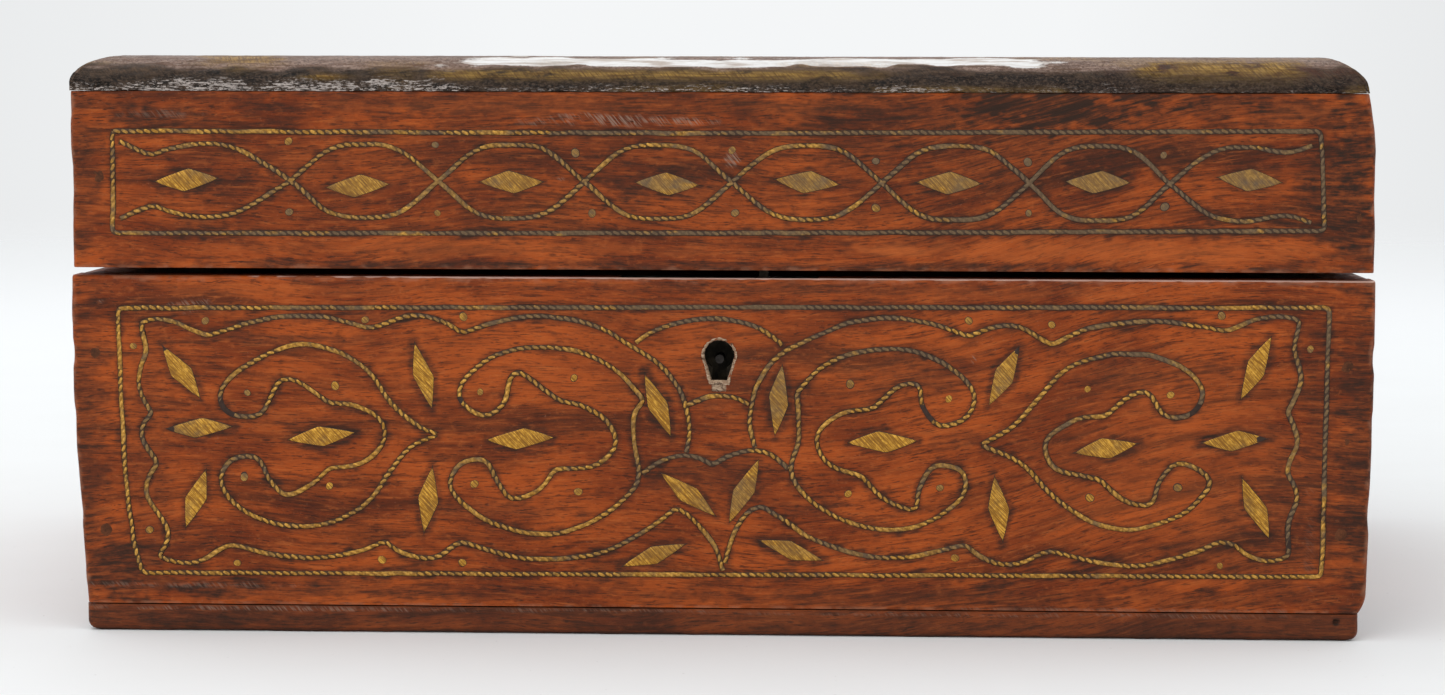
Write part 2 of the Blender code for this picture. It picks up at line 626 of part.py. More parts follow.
def leaf_outline(x, whole, notch):
    """A leaf's plan. Its free edge reaches the knuckles it carries and stops short of the others."""
    inner, short, long = BACK - LEAF_INNER, AXIS_Y - NOTCH_BACK, AXIS_Y - NOTCH_TIP
    middle, side = (short, long) if notch else (long, short)
    m = MIDDLE_KNUCKLE / 2 + (KNUCKLE_GAP if notch else 0)
    return [(x - whole, inner), (x + whole, inner), (x + whole, side), (x + m, side),
            (x + m, middle), (x - m, middle), (x - m, side), (x - whole, side)]


def make_hinge(side, x, base_back, lid_back):
    whole, middle = HINGE_LENGTH / 2, MIDDLE_KNUCKLE / 2
    near = whole - HINGE_SCREW_END
    screw_y = BACK - HINGE_SCREW_INSET
    holes = [circle(x - near, screw_y, SCREW_HOLE), circle(x + near, screw_y, SCREW_HOLE)]
    outer = middle + KNUCKLE_GAP
    spans = {
        "base": ((-whole, -outer), (outer, whole)),
        "lid": ((-middle, middle),),
    }
    levels = {"base": BASE_TOP + LEAF_LIFT, "lid": LID_BOTTOM - LEAF_LIFT - LEAF}
    for part, panel, body in (("base", base_back, None), ("lid", lid_back, LID)):
        low = levels[part]
        outline = leaf_outline(x, whole, part == "base")
        leaf = plate(f"hinge_{side}_{part}_leaf", "XY", [outline] + holes, low, low + LEAF)
        as_part(leaf, "old_brass", body)
        for number, (start, end) in enumerate(spans[part]):
            knuckle = cylinder(f"knuckle_{side}_{part}_{number}", (x + start, AXIS_Y, AXIS_Z),
                               (x + end, AXIS_Y, AXIS_Z), KNUCKLE_RADIUS, sides=16)
            boolean(leaf, as_cutter(knuckle), "UNION")
        bore = cylinder(f"bore_{side}_{part}", (x - HINGE_LENGTH, AXIS_Y, AXIS_Z),
                        (x + HINGE_LENGTH, AXIS_Y, AXIS_Z), HINGE_BORE_RADIUS, sides=16)
        boolean(leaf, as_cutter(bore))
        up = -1 if part == "base" else 1
        face = low + LEAF if part == "base" else low
        for name, offset in (("outer", near * math.copysign(1, x)), ("inner", -near * math.copysign(1, x))):
            drive_screw(f"hinge_{side}_{part}_screw_{name}", (x + offset, screw_y, face), (0, 0, up),
                        HINGE_SCREW_LENGTH, panel, body)
    pin = cylinder(f"hinge_{side}_pin", (x - whole, AXIS_Y, AXIS_Z), (x + whole, AXIS_Y, AXIS_Z),
                   HINGE_PIN_RADIUS, sides=16)
    as_part(pin, "iron")
    seat_half = whole + PAST
    seat = as_cutter(cylinder(f"knuckle_seat_{side}", (x - seat_half, AXIS_Y, AXIS_Z),
                              (x + seat_half, AXIS_Y, AXIS_Z), KNUCKLE_RADIUS + JOINT, sides=16))
    boolean(base_back, seat)
    boolean(lid_back, seat)


def cut_box(obj, name, low, high):
    boolean(obj, as_cutter(box(name, low, high)))


def join_box(obj, name, low, high):
    boolean(obj, as_cutter(box(name, low, high)), "UNION")


def cut_keyhole(targets):
    start, end = FRONT - PAST, FRONT + KEYHOLE_DEPTH
    round_part = cylinder("keyhole_round", (KEYHOLE_X, start, KEYHOLE_Z), (KEYHOLE_X, end, KEYHOLE_Z),
                          KEYHOLE_RADIUS, sides=20)
    slot = box("keyhole_slot", (KEYHOLE_X - KEYHOLE_SLOT_HALF, start, KEYHOLE_FOOT_Z),
               (KEYHOLE_X + KEYHOLE_SLOT_HALF, end, KEYHOLE_Z))
    for cutter in (as_cutter(round_part), as_cutter(slot)):
        for target in targets:
            boolean(target, cutter)


# Lock sizes, as distances in from the front face and heights.
CASE_FRONT, CASE_BACK, CASE_HALF, CASE_FOOT, CASE_TOP = 0.0036, 0.0093, 0.0170, 0.0543, 0.0797
CAVITY_FRONT, CAVITY_BACK, CAVITY_HALF, CAVITY_FOOT, CAVITY_TOP = 0.0043, 0.0088, 0.0163, 0.0550, 0.0789
PLATE_HALF, PLATE_FRONT, PLATE_FOOT = 0.0220, 0.0090, 0.0503
SELVEDGE_FRONT, SELVEDGE_LOW, SELVEDGE_TOP = 0.0020, 0.0796, 0.0805
BOLT_FRONT, BOLT_BACK, BOLT_LOW, BOLT_TOP = 0.0058, 0.0073, 0.0732, 0.0782
BOLT_TAIL, BOLT_NOSE = -0.0130, 0.0075
LOCK_SCREW_X, LOCK_SCREW_Z, LOCK_SCREW_LENGTH = 0.0195, 0.0660, 0.0055
GUIDE_STARTS, GUIDE_WIDTH, GUIDE_HEIGHT, GUIDE_SINK = (-0.0150, 0.0030), 0.003, 0.0012, 0.0002
STAPLE_SLOT_HALF = 0.0018


def make_lock(panel):
    """A half-mortise lock: case and back plate sunk in the panel's inside, and its selvedge in the top."""
    cut_box(panel, "lock_mortise", (-CASE_HALF - JOINT, FRONT + CASE_FRONT - JOINT, CASE_FOOT - JOINT),
            (CASE_HALF + JOINT, FRONT + PANEL + PAST, BASE_TOP))
    cut_box(panel, "lock_plate_recess", (-PLATE_HALF - JOINT, FRONT + PLATE_FRONT - JOINT, PLATE_FOOT - JOINT),
            (PLATE_HALF + JOINT, FRONT + PANEL + PAST, BASE_TOP))
    cut_box(panel, "lock_selvedge_recess",
            (-PLATE_HALF - JOINT, FRONT + SELVEDGE_FRONT - JOINT, SELVEDGE_LOW - JOINT),
            (PLATE_HALF + JOINT, FRONT + PANEL + PAST, BASE_TOP + PAST))
    case = as_part(box("lock_case", (-PLATE_HALF, FRONT + PLATE_FRONT, PLATE_FOOT),
                       (PLATE_HALF, FRONT + PANEL, SELVEDGE_TOP - FIT)), "dark_brass")
    join_box(case, "lock_case_body", (-CASE_HALF, FRONT + CASE_FRONT, CASE_FOOT),
             (CASE_HALF, FRONT + CASE_BACK, CASE_TOP))
    join_box(case, "lock_selvedge", (-PLATE_HALF, FRONT + SELVEDGE_FRONT, SELVEDGE_LOW),
             (PLATE_HALF, FRONT + PANEL, SELVEDGE_TOP))
    cut_box(case, "lock_cavity", (-CAVITY_HALF, FRONT + CAVITY_FRONT, CAVITY_FOOT),
            (CAVITY_HALF, FRONT + CAVITY_BACK, CAVITY_TOP))
    guide_top = BOLT_LOW - GUIDE_SINK
    for number, start in enumerate(GUIDE_STARTS):
        join_box(case, f"bolt_guide_{number}",
                 (start, FRONT + CAVITY_FRONT - GUIDE_SINK, guide_top - GUIDE_HEIGHT),
                 (start + GUIDE_WIDTH, FRONT + CAVITY_BACK + JOINT, guide_top))
    cut_box(case, "staple_slot", (STAPLE_X - STAPLE_SLOT_HALF, FRONT + CAVITY_FRONT, CAVITY_TOP - PAST),
            (STAPLE_X + STAPLE_SLOT_HALF, FRONT + CAVITY_BACK, BASE_TOP + PAST))
    back_hole = cylinder("key_pin_hole", (KEYHOLE_X, FRONT + CAVITY_BACK - PAST, KEY_PIN_Z),
                         (KEYHOLE_X, FRONT + PANEL + PAST, KEY_PIN_Z), KEY_PIN_RADIUS + FIT)
    boolean(case, as_cutter(back_hole))
    as_part(cylinder("lock_key_pin", (KEYHOLE_X, FRONT + CASE_FRONT + GUIDE_SINK, KEY_PIN_Z),
                     (KEYHOLE_X, FRONT + PANEL - FIT, KEY_PIN_Z), KEY_PIN_RADIUS), "iron")
    for side, sign in (("left", -1), ("right", 1)):
        head = (sign * LOCK_SCREW_X, FRONT + PANEL, LOCK_SCREW_Z)
        hole = cylinder("lock_screw_hole_" + side, (head[0], FRONT + PLATE_FRONT - PAST, head[2]),
                        (head[0], FRONT + PANEL + PAST, head[2]), SCREW_HOLE)
        boolean(case, as_cutter(hole))
        drive_screw("lock_screw_" + side, head, (0, -1, 0), LOCK_SCREW_LENGTH, panel)
    return case


def make_bolt():
    """The bolt at rest is drawn back clear of the staple. A notch in its foot takes the key's bit."""
    notch_low, notch_high, notch_deep = -0.0035, 0.0015, 0.0022
    outline = [(BOLT_TAIL, BOLT_LOW), (notch_low, BOLT_LOW), (notch_low, BOLT_LOW + notch_deep),
               (notch_high, BOLT_LOW + notch_deep), (notch_high, BOLT_LOW), (BOLT_NOSE, BOLT_LOW),
               (BOLT_NOSE, BOLT_TOP), (BOLT_TAIL, BOLT_TOP)]
    as_part(plate("lock_bolt", "XZ", [outline], FRONT + BOLT_FRONT, FRONT + BOLT_BACK), "old_brass", BOLT)


# Strike sizes, as distances in from the front face, heights and halves.
STRIKE_FRONT, STRIKE_BACK, STRIKE_HALF, STRIKE_THICK, STRIKE_LIFT = 0.0022, 0.0092, 0.0200, 0.0008, 0.0001
STRIKE_SCREW_X, STRIKE_SCREW_LENGTH = 0.0155, 0.0075
STAPLE_FRONT, STAPLE_BACK, STAPLE_HALF, STAPLE_FOOT = 0.0048, 0.0083, 0.001, 0.0716
EYE_FRONT, EYE_BACK, EYE_BELOW, EYE_ABOVE = 0.0055, 0.0076, 0.0005, 0.0004


def make_strike(panel):
    """The plate under the lid's front edge, and the staple that hangs from it into the lock."""
    low, high = FRONT + STRIKE_FRONT, FRONT + STRIKE_BACK
    cut_box(panel, "strike_recess", (-STRIKE_HALF - JOINT, low - JOINT, LID_BOTTOM - PAST),
            (STRIKE_HALF + JOINT, high + JOINT, LID_BOTTOM + STRIKE_THICK + JOINT))
    level = LID_BOTTOM + STRIKE_LIFT
    middle = (low + high) / 2
    holes = [circle(sign * STRIKE_SCREW_X, middle, SCREW_HOLE) for sign in (-1, 1)]
    outline = [(-STRIKE_HALF, low), (STRIKE_HALF, low), (STRIKE_HALF, high), (-STRIKE_HALF, high)]
    flat = plate("strike_plate", "XY", [outline] + holes, level, level + STRIKE_THICK)
    strike = as_part(flat, "old_brass", LID)
    join_box(strike, "staple", (STAPLE_X - STAPLE_HALF, FRONT + STAPLE_FRONT, STAPLE_FOOT),
             (STAPLE_X + STAPLE_HALF, FRONT + STAPLE_BACK, level + STRIKE_THICK / 2))
    cut_box(strike, "staple_eye", (STAPLE_X - 2 * STAPLE_HALF, FRONT + EYE_FRONT, BOLT_LOW - EYE_BELOW),
            (STAPLE_X + 2 * STAPLE_HALF, FRONT + EYE_BACK, BOLT_TOP + EYE_ABOVE))
    for side, sign in (("left", -1), ("right", 1)):
        drive_screw("strike_screw_" + side, (sign * STRIKE_SCREW_X, middle, level), (0, 0, 1),
                    STRIKE_SCREW_LENGTH, panel, LID)


def make_body(name, at):
    made = bpy.data.objects.new(name, None)
    made.location = at
    made.empty_display_size = 0.02
    PARTS.objects.link(made)
    return made


clear_scene()
PARTS = make_collection("inlaid_wooden_box")
CUTTERS = make_collection("cutters", hidden=True)
MATERIALS = make_materials()
LID = make_body("lid_hinge_axis", (0, AXIS_Y, AXIS_Z))
BOLT = make_body("lock_bolt_slide", (BOLT_TAIL, FRONT + BOLT_FRONT, BOLT_LOW))

base_front, base_back, base_left, base_right = make_base_panels()
make_bottom_board()
lid_front, lid_back, lid_left, lid_right = make_lid_panels()
make_top_board()
make_edge_strips()
lock = make_lock(base_front)
cut_keyhole((base_front, lock))
make_bolt()
make_strike(lid_front)
make_base_nails(base_front, base_back, base_left, base_right)
make_lid_nails(lid_front, lid_back, lid_left, lid_right)
make_hinge("left", -HINGE_X, base_back, lid_back)
make_hinge("right", HINGE_X, base_back, lid_back)
make_base_inlay(base_front)
lay_wire("lid_border_wire", LID_BORDER, lid_front, closed=True, body=LID)
make_chain_wire(lid_front)
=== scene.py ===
"""Looks of the inlaid wooden box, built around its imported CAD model.

Meshes are worked out in millimetres, the front as (x, z), the way the inlay was drawn. The camera, the lights
and the shaders' coordinates are in metres.
"""

import math

import bmesh
import bpy
import numpy as np
from mathutils import Matrix, Vector


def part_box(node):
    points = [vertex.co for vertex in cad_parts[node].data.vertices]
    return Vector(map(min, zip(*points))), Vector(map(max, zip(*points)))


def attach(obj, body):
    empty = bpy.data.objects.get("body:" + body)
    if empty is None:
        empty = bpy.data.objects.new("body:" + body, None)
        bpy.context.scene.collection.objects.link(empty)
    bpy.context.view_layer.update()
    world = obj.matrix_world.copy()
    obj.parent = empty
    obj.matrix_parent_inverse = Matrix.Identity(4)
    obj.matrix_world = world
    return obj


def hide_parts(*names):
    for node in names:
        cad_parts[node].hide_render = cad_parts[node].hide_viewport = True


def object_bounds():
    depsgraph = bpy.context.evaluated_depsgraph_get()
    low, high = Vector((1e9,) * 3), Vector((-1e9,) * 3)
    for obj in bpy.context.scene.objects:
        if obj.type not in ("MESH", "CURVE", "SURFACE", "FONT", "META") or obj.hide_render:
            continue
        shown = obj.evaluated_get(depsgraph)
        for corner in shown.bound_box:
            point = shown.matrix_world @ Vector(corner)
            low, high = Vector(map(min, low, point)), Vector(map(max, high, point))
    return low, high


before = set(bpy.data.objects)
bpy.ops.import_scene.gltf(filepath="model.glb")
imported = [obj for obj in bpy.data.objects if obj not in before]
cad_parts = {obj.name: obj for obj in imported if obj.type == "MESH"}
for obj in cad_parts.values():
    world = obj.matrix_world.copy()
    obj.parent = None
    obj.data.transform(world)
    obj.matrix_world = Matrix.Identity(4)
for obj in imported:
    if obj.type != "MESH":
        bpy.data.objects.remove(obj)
CAD_BOX = [list(corner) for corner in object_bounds()]

MM = 0.001


def box(node):
    """A CAD node's lowest and highest corner, in millimetres."""
    return [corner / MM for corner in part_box(node)]


# Faces of the case.
BASE_LOW, BASE_HIGH = box("base_front_panel")
LID_LOW, LID_HIGH = box("lid_front_panel")
FRONT, BACK = BASE_LOW.y, box("base_back_panel")[1].y
BASE_HALF, LID_HALF = BASE_HIGH.x, LID_HIGH.x
PANEL = BASE_HIGH.y - BASE_LOW.y
LID_TOP = CAD_BOX[1][2] / MM

# The base narrows a little towards its foot, and its lower right corner is rounded.
TAPER_LEFT, TAPER_RIGHT, TAPER_FROM, BOTTOM_BOARD = 2.7, 1.0, 55, 6
FOOT_ROUNDING, FOOT_HEIGHT = 1.6, 4.5

# The lid's upper right shoulder leans in: by how much, and from which height and which x.
SHOULDER, SHOULDER_FROM, SHOULDER_IN = 4.0, 104, 131

# Distances behind the front's true face: the worn wood, the metal that stands out of it, a groove's bottom, and
# the inlay's rim, which is hidden in the wood.
WOOD_BACK, METAL_BACK = 0.24, 0.07
GROOVE_BACK, UNDER_WOOD = WOOD_BACK - 0.03, WOOD_BACK + 0.12

# The edging's sheet: how far it reaches in, how high its bend is, its flat flange, its thickness and the height
# that it starts at.
EDGE_REACH, EDGE_RISE, EDGE_FLANGE, EDGE_SHEET = 11, 6.5, 3, 0.8
EDGE_LIP = LID_HIGH.z + 0.1

# A twisted wire: half its width, how far apart its strands show along it, how far each leans and how round it
# is, with its section's points in half widths.
WIRE_HALF, TWIST, SLANT, LENS = 0.44, 1.7, 0.27, 0.52
WIRE_ACROSS = np.array([-1.5, -1.16, -1.0, -0.78, -0.5, -0.25, 0, 0.25, 0.5, 0.78, 1.0, 1.16, 1.5])

# A leaf's section in half widths, and the mastic round its metal.
LEAF_ACROSS = (-1.0, -0.9, -0.82, -0.55, -0.28, 0, 0.28, 0.55, 0.82, 0.9, 1.0)
MASTIC = 0.24

# Wire courses on the front. A course is a list of smooth runs that meet at cusps. Each run goes on from where
# the last one ended.
FRAME_LEFT = [
    [(-7.1, 41.4), (-6.4, 47), (-8, 54.5), (-13, 61), (-19.5, 65.4), (-26.5, 69.4), (-33, 71.2),
     (-40, 71.9), (-47, 71.2), (-53.5, 69.4), (-57.5, 68)],
    [(-61, 70.2), (-64.5, 71.5), (-68.5, 72), (-72.5, 70.9), (-75.5, 69.7), (-78.5, 69)],
    [(-83, 70.3), (-88, 71.4), (-94, 71.7), (-100, 71.2), (-106.5, 69.9), (-111, 68.3), (-115, 67)],
    [(-118.5, 68.5), (-122, 70.2), (-126, 70.9), (-130, 70)],
    [(-129.3, 66.8), (-128.8, 63.5), (-130, 60.5), (-130.6, 56), (-129.3, 52), (-127.5, 49.5)],
    [(-129.5, 47.3), (-130.1, 45), (-129.3, 42.3), (-126.5, 38)],
    [(-128.3, 35.5), (-129.2, 32.5), (-128.5, 29.5), (-124.8, 24), (-124.6, 20.5), (-126.7, 17)],
    [(-124, 16), (-120, 15.4), (-116.2, 16.3), (-113.2, 18.3), (-110.5, 19.6), (-107, 19.1), (-102, 17.9),
     (-95, 17), (-88, 17.2), (-81, 18.6), (-75, 20.9)],
    [(-72.5, 18.8), (-69.5, 17.6), (-65.6, 17), (-62.2, 17.9), (-60, 19.6), (-57.5, 20.9)],
    [(-52, 19.2), (-46, 17.6), (-40, 17.1), (-32, 17.5), (-25, 19), (-19, 22), (-14, 25.2), (-9.6, 28.9)],
    [(-7, 27.6), (-3.5, 24), (-0.5, 20), (1.2, 14.8)],
]
FRAME_RIGHT = [
    [(1.7, 16.4), (2.3, 19.2), (4, 24), (7, 28.3), (10, 29.5)],
    [(15, 26.3), (20, 22.8), (26, 20.4), (33, 18.4), (41, 18), (48, 19.2), (55.5, 21.2)],
    [(58, 19), (61.5, 17.2), (65.5, 16.7), (69, 17.4), (72, 19), (74.8, 19.8)],
    [(80, 18.5), (87, 17), (94, 16.7), (101, 18), (107, 20), (112, 22.2)],
    [(115.2, 21.6), (118, 19.4), (122, 18), (125.2, 18.2), (127.7, 19.2)],
    [(127.1, 25.5), (129, 31.6), (128.3, 35), (126.7, 37.6)],
    [(127.3, 40.5), (128.9, 44.5), (128, 48.8), (126.4, 51.3)],
    [(127.7, 53.8), (129.5, 58.5), (128.4, 63.3), (127.8, 66), (129.1, 71.8)],
    [(126.5, 72.5), (123, 72.6), (119, 71.9), (115.5, 70.4), (112.6, 69.4)],
    [(106, 70.5), (99, 71.4), (91, 71.1), (83, 70), (78.5, 68.3), (74.3, 66.1)],
    [(71.5, 67.7), (68, 69.8), (64.5, 70.4), (60.5, 69.7), (55.8, 67.8)],
    [(52, 69.4), (46, 71), (39, 71.9), (31, 71.2), (25, 69.2), (18, 66), (12.5, 62.3), (8.7, 56.5), (7, 49),
     (7.9, 44), (8.3, 42.6)],
]
PALMETTE_OUTER_LEFT = [
    [(-62.9, 45.1), (-67.5, 47), (-73.7, 52.4), (-78, 58.7), (-84.2, 63.1), (-93, 65.3), (-99.8, 63.7),
     (-106.6, 60.1), (-111.6, 55.6), (-111.8, 51.5), (-109, 49.2), (-103.3, 49.4), (-100.8, 53.4),
     (-98.5, 57.1), (-94, 56.6), (-87.5, 52.1)],
    [(-81.4, 51.5), (-76.5, 48.8), (-74.9, 45.2), (-76.5, 41.5), (-81, 38.3), (-87.6, 37.4)],
    [(-91.7, 33.5), (-97.5, 31.2), (-101.2, 34.6), (-103.7, 39.4), (-109.1, 39.5), (-112.3, 35.4),
     (-110.5, 30.5), (-104, 26), (-95.5, 24), (-86.5, 25.3), (-79, 29.8), (-74.2, 36.3), (-69.5, 42),
     (-62.9, 45.1)],
]
PALMETTE_INNER_LEFT = [
    [(-16.6, 53.3), (-22.2, 59.3), (-30, 63.6), (-40, 65), (-49.5, 63.2), (-56.5, 58.2), (-57.9, 53),
     (-52.7, 49.4), (-48, 52.3), (-46.5, 58), (-43.8, 58.9), (-36.1, 53.4), (-30, 51.6), (-24.5, 48),
     (-23.2, 42.5), (-28, 38.2), (-36.6, 37.5)],
    [(-40.2, 32.8), (-46.3, 30.7), (-49.2, 34), (-52.5, 39.4), (-58, 38.5), (-60.4, 33.5), (-55.8, 28.1),
     (-47.4, 23.9), (-37, 22.8), (-27.4, 26.1), (-19.9, 32), (-17.7, 36.5), (-18.8, 44), (-18.7, 50),
     (-16.6, 53.3)],
]
PALMETTE_INNER_RIGHT = [
    [(17.6, 55), (23.2, 60.9), (32, 64.4), (43, 64.6), (51.9, 60.9), (57.1, 55.1), (55.3, 49.6),
     (49.5, 47.9), (45.7, 52.3), (44.6, 57.1), (40, 56.3), (34.8, 51.6)],
    [(27.7, 50.4), (22.3, 45.6), (24.3, 39.5), (32.3, 36.3)],
    [(37.2, 31.3), (43.9, 29), (45, 33.5), (48.3, 38.7), (54.3, 37.8), (55, 32.5), (48.4, 26.7),
     (39.5, 24.4), (29.4, 26), (21.6, 30.1), (16.5, 36.8), (18.1, 45.2), (17.6, 55)],
]
PALMETTE_OUTER_RIGHT = [
    [(58.7, 43.7), (65.8, 47.7), (71.3, 54), (77.6, 60.8), (86, 63.7), (95, 64), (103.1, 61.2), (107.9, 56),
     (105.4, 50.9), (99.5, 50.4), (95.9, 55.4), (91.5, 54.6), (86.2, 50.1)],
    [(80, 49.4), (73.4, 44.8), (75.2, 38.5), (85.3, 36.1)],
    [(90.2, 31.7), (96.5, 30.5), (98.6, 36), (103, 39.8), (109.7, 36), (106.2, 30.3), (99.6, 26.6),
     (91.4, 24.8), (82.5, 27), (74.6, 32.5), (68.1, 39.2), (58.7, 43.7)],
]
HEART = [
    [(-16.9, 36.5), (-16, 37.3), (-12.8, 39.5), (-8, 40.8), (-4, 40.1), (-1.3, 38.5)],
    [(2, 40.5), (7, 41.9), (11.7, 41.3), (14.7, 39), (15.8, 38)],
]
ARCH_ABOVE = [
    [(-18.3, 66.1), (-17.2, 67), (-13, 69.3), (-7, 71), (0, 71.5), (6, 70.6), (10.5, 68.8), (13.4, 66.7),
     (14.3, 65.8)],
]
ARCH_BELOW = [
    [(-6.9, 52.1), (-5, 53), (-1.6, 54.2), (3, 54), (6, 52.9), (6.8, 52.4)],
]
BASE_BORDER = [
    [(-135.2, 73.3), (0, 74.1), (135.4, 74.7)], [(134.8, 14.5)], [(-130.4, 13.2)],
    [(-132.6, 23), (-134.1, 40), (-135.2, 73.3)],
]
LID_BORDER = [
    [(-135.7, 113), (0, 112.9), (132.9, 113.7)], [(134, 91.7)], [(0, 90.7), (-136, 90.1)], [(-135.7, 113)],
]
CHAIN_CROSSINGS = [-95.8, -62.6, -29.9, 3.0, 36.3, 68.8, 99.8]
CHAIN_MIDDLE, CHAIN_BOW = 102, 8.2
CHAIN_ENDS = (-134.2, 131)
CHAIN_TURNS = (-115.5, 117)

# Leaf plates: (tip, other tip, width).
BASE_LEAVES = [
    ((-124.9, 64.5), (-116.9, 53.3), 4.5), ((-124.2, 46), (-109.9, 46.6), 4.3),
    ((-115.7, 36.5), (-120.2, 24), 4.5), ((-96.6, 43.7), (-82.1, 45.4), 4.4),
    ((-68, 65.3), (-64.4, 51.4), 4.3), ((-64.3, 37.4), (-66.2, 23.3), 4.5),
    ((-51.6, 44), (-37.2, 44.6), 4.6), ((-16.3, 58.7), (-10.7, 45.4), 4.3),
    ((-12.5, 36.6), (-0.8, 27.4), 4.3), ((-21.1, 15.7), (-7.6, 20.6), 3.9),
    ((14.3, 60.9), (12.8, 45.8), 4.3), ((9, 39.7), (2.7, 25.9), 4.4), ((9.7, 21.6), (23.2, 17.4), 3.9),
    ((29.3, 43.9), (44.2, 44.4), 4.7), ((66.9, 65.4), (60.6, 52.8), 4.5), ((61.9, 36.2), (63.8, 22.3), 4.5),
    ((79.9, 42), (93.1, 44.1), 4.6), ((122.6, 67.9), (116.4, 54.5), 4.4),
    ((108.2, 44.4), (121.9, 45.4), 4.4), ((117, 36.2), (122.9, 23.4), 4.5),
]
LID_LEAF_CENTRES = [
    (-119.2, 102.1), (-80.7, 100.9), (-46.2, 101.9), (-11.4, 101.6), (19.7, 102.1), (51.1, 102),
    (84, 102.3), (117.4, 102.9),
]
LID_LEAF_LENGTH, LID_LEAF_WIDTH = 13.6, 4.9

# Dots.
BASE_DOTS = [
    (-115.3, 70.5), (-79.2, 70.9), (-131.7, 64.7), (-106, 54.3), (-86.1, 56), (-106.9, 35.2), (-87.6, 33.3),
    (-128.6, 23), (-108.7, 15.6), (-75.8, 16.6), (-57.1, 71.7), (-53.4, 54.8), (-32.3, 58.1), (-54.8, 34),
    (-31.4, 32.4), (-57.6, 16.1), (55.8, 71.4), (29.5, 57.1), (51.5, 53.9), (29.2, 32.4), (49.7, 33.9),
    (53.2, 18.1), (74.2, 70.6), (111.7, 72.8), (131.4, 65.5), (82.3, 56.3), (100.7, 55.1), (102.6, 34.3),
    (83.1, 31.9), (112.2, 16.8),
]
LID_DOTS = [
    (-96.1, 110.8), (-96.1, 95), (-63.2, 110.1), (-62.8, 94.9), (-31.9, 108.4), (-28.2, 95), (3, 109.1),
    (3.7, 95.2), (34.9, 106.8), (35, 96.4), (68.5, 106.7), (68.8, 95.4), (98.4, 108.3), (98.8, 96.9),
]

# Where the brass has gone dark: (x, z, reach in x, reach in z, how dark).
TARNISH = [
    (0, 102, 250, 13, 0.5), (90, 102, 110, 15, 0.92), (120, 103, 40, 16, 1), (60, 91, 260, 3, 1.05),
    (100, 113, 190, 3, 1.05), (-11, 101.6, 11, 4, 1), (20, 102, 10, 4, 0.8), (-135, 102, 3, 12, 0.35),
    (0, 74.3, 150, 3, 0.55), (20, 74.3, 100, 4, 0.95), (-30, 71, 30, 3.5, 0.75), (32, 70, 26, 5, 0.8),
    (40, 64, 18, 5, 0.95), (0, 71, 20, 3, 0.85), (135, 55, 4, 34, 0.95), (128, 55, 6, 22, 0.6),
    (120, 72, 22, 3, 0.7), (96, 64, 18, 4, 0.8), (-3, 40, 15, 4, 0.9), (-6, 57, 6, 4, 0.75),
    (3, 33, 8, 9, 0.85), (12, 55, 7, 8, 0.75), (-100, 71, 30, 3, 0.6), (60, 71, 70, 2.5, 0.65),
    (-108, 51, 7, 5, 0.85), (106, 52, 6, 5, 0.9), (-106, 38, 6, 5, 0.5), (-128, 45, 4, 24, 0.6),
    (-124, 45, 5, 3, 0.9), (128, 26, 4, 10, 0.9), (-80, 62, 8, 4, 0.5), (78, 45, 8, 8, 0.55),
    (47, 60, 14, 5, 0.8), (-50, 65, 14, 3, 0.6), (60, 20, 14, 4, 0.5), (-20, 21, 22, 4, 0.6),
    (26, 20, 20, 4, 0.6), (50, 36, 10, 5, 0.5), (-52, 36, 9, 5, 0.4), (101, 35, 9, 5, 0.5),
    (9, 33, 7, 8, 0.8), (66, 60, 6, 7, 0.45), (-18, 40, 4, 14, 0.45), (18, 40, 4, 14, 0.6),
    (-118, 102, 14, 5, 0.3), (51, 102, 9, 4, 0.5), (84, 102, 10, 4, 0.6), (117, 103, 9, 5, 0.85),
]
# Where the wire is worn away or lost, and only the dark groove is left: (x, z, reach).
LOST = [
    (-111, 51, 2.6), (45.5, 50, 2.4), (106.5, 51.5, 2.2), (-110.3, 52.5, 2), (-124.9, 64.5, 1.6),
    (-124.2, 46, 2.2), (121.9, 45.4, 1.8), (66.9, 65.4, 1.5), (-57.9, 53, 1.2), (128.4, 22, 1.6),
    (88, 62.9, 1.2), (46.8, 28, 1.3),
]

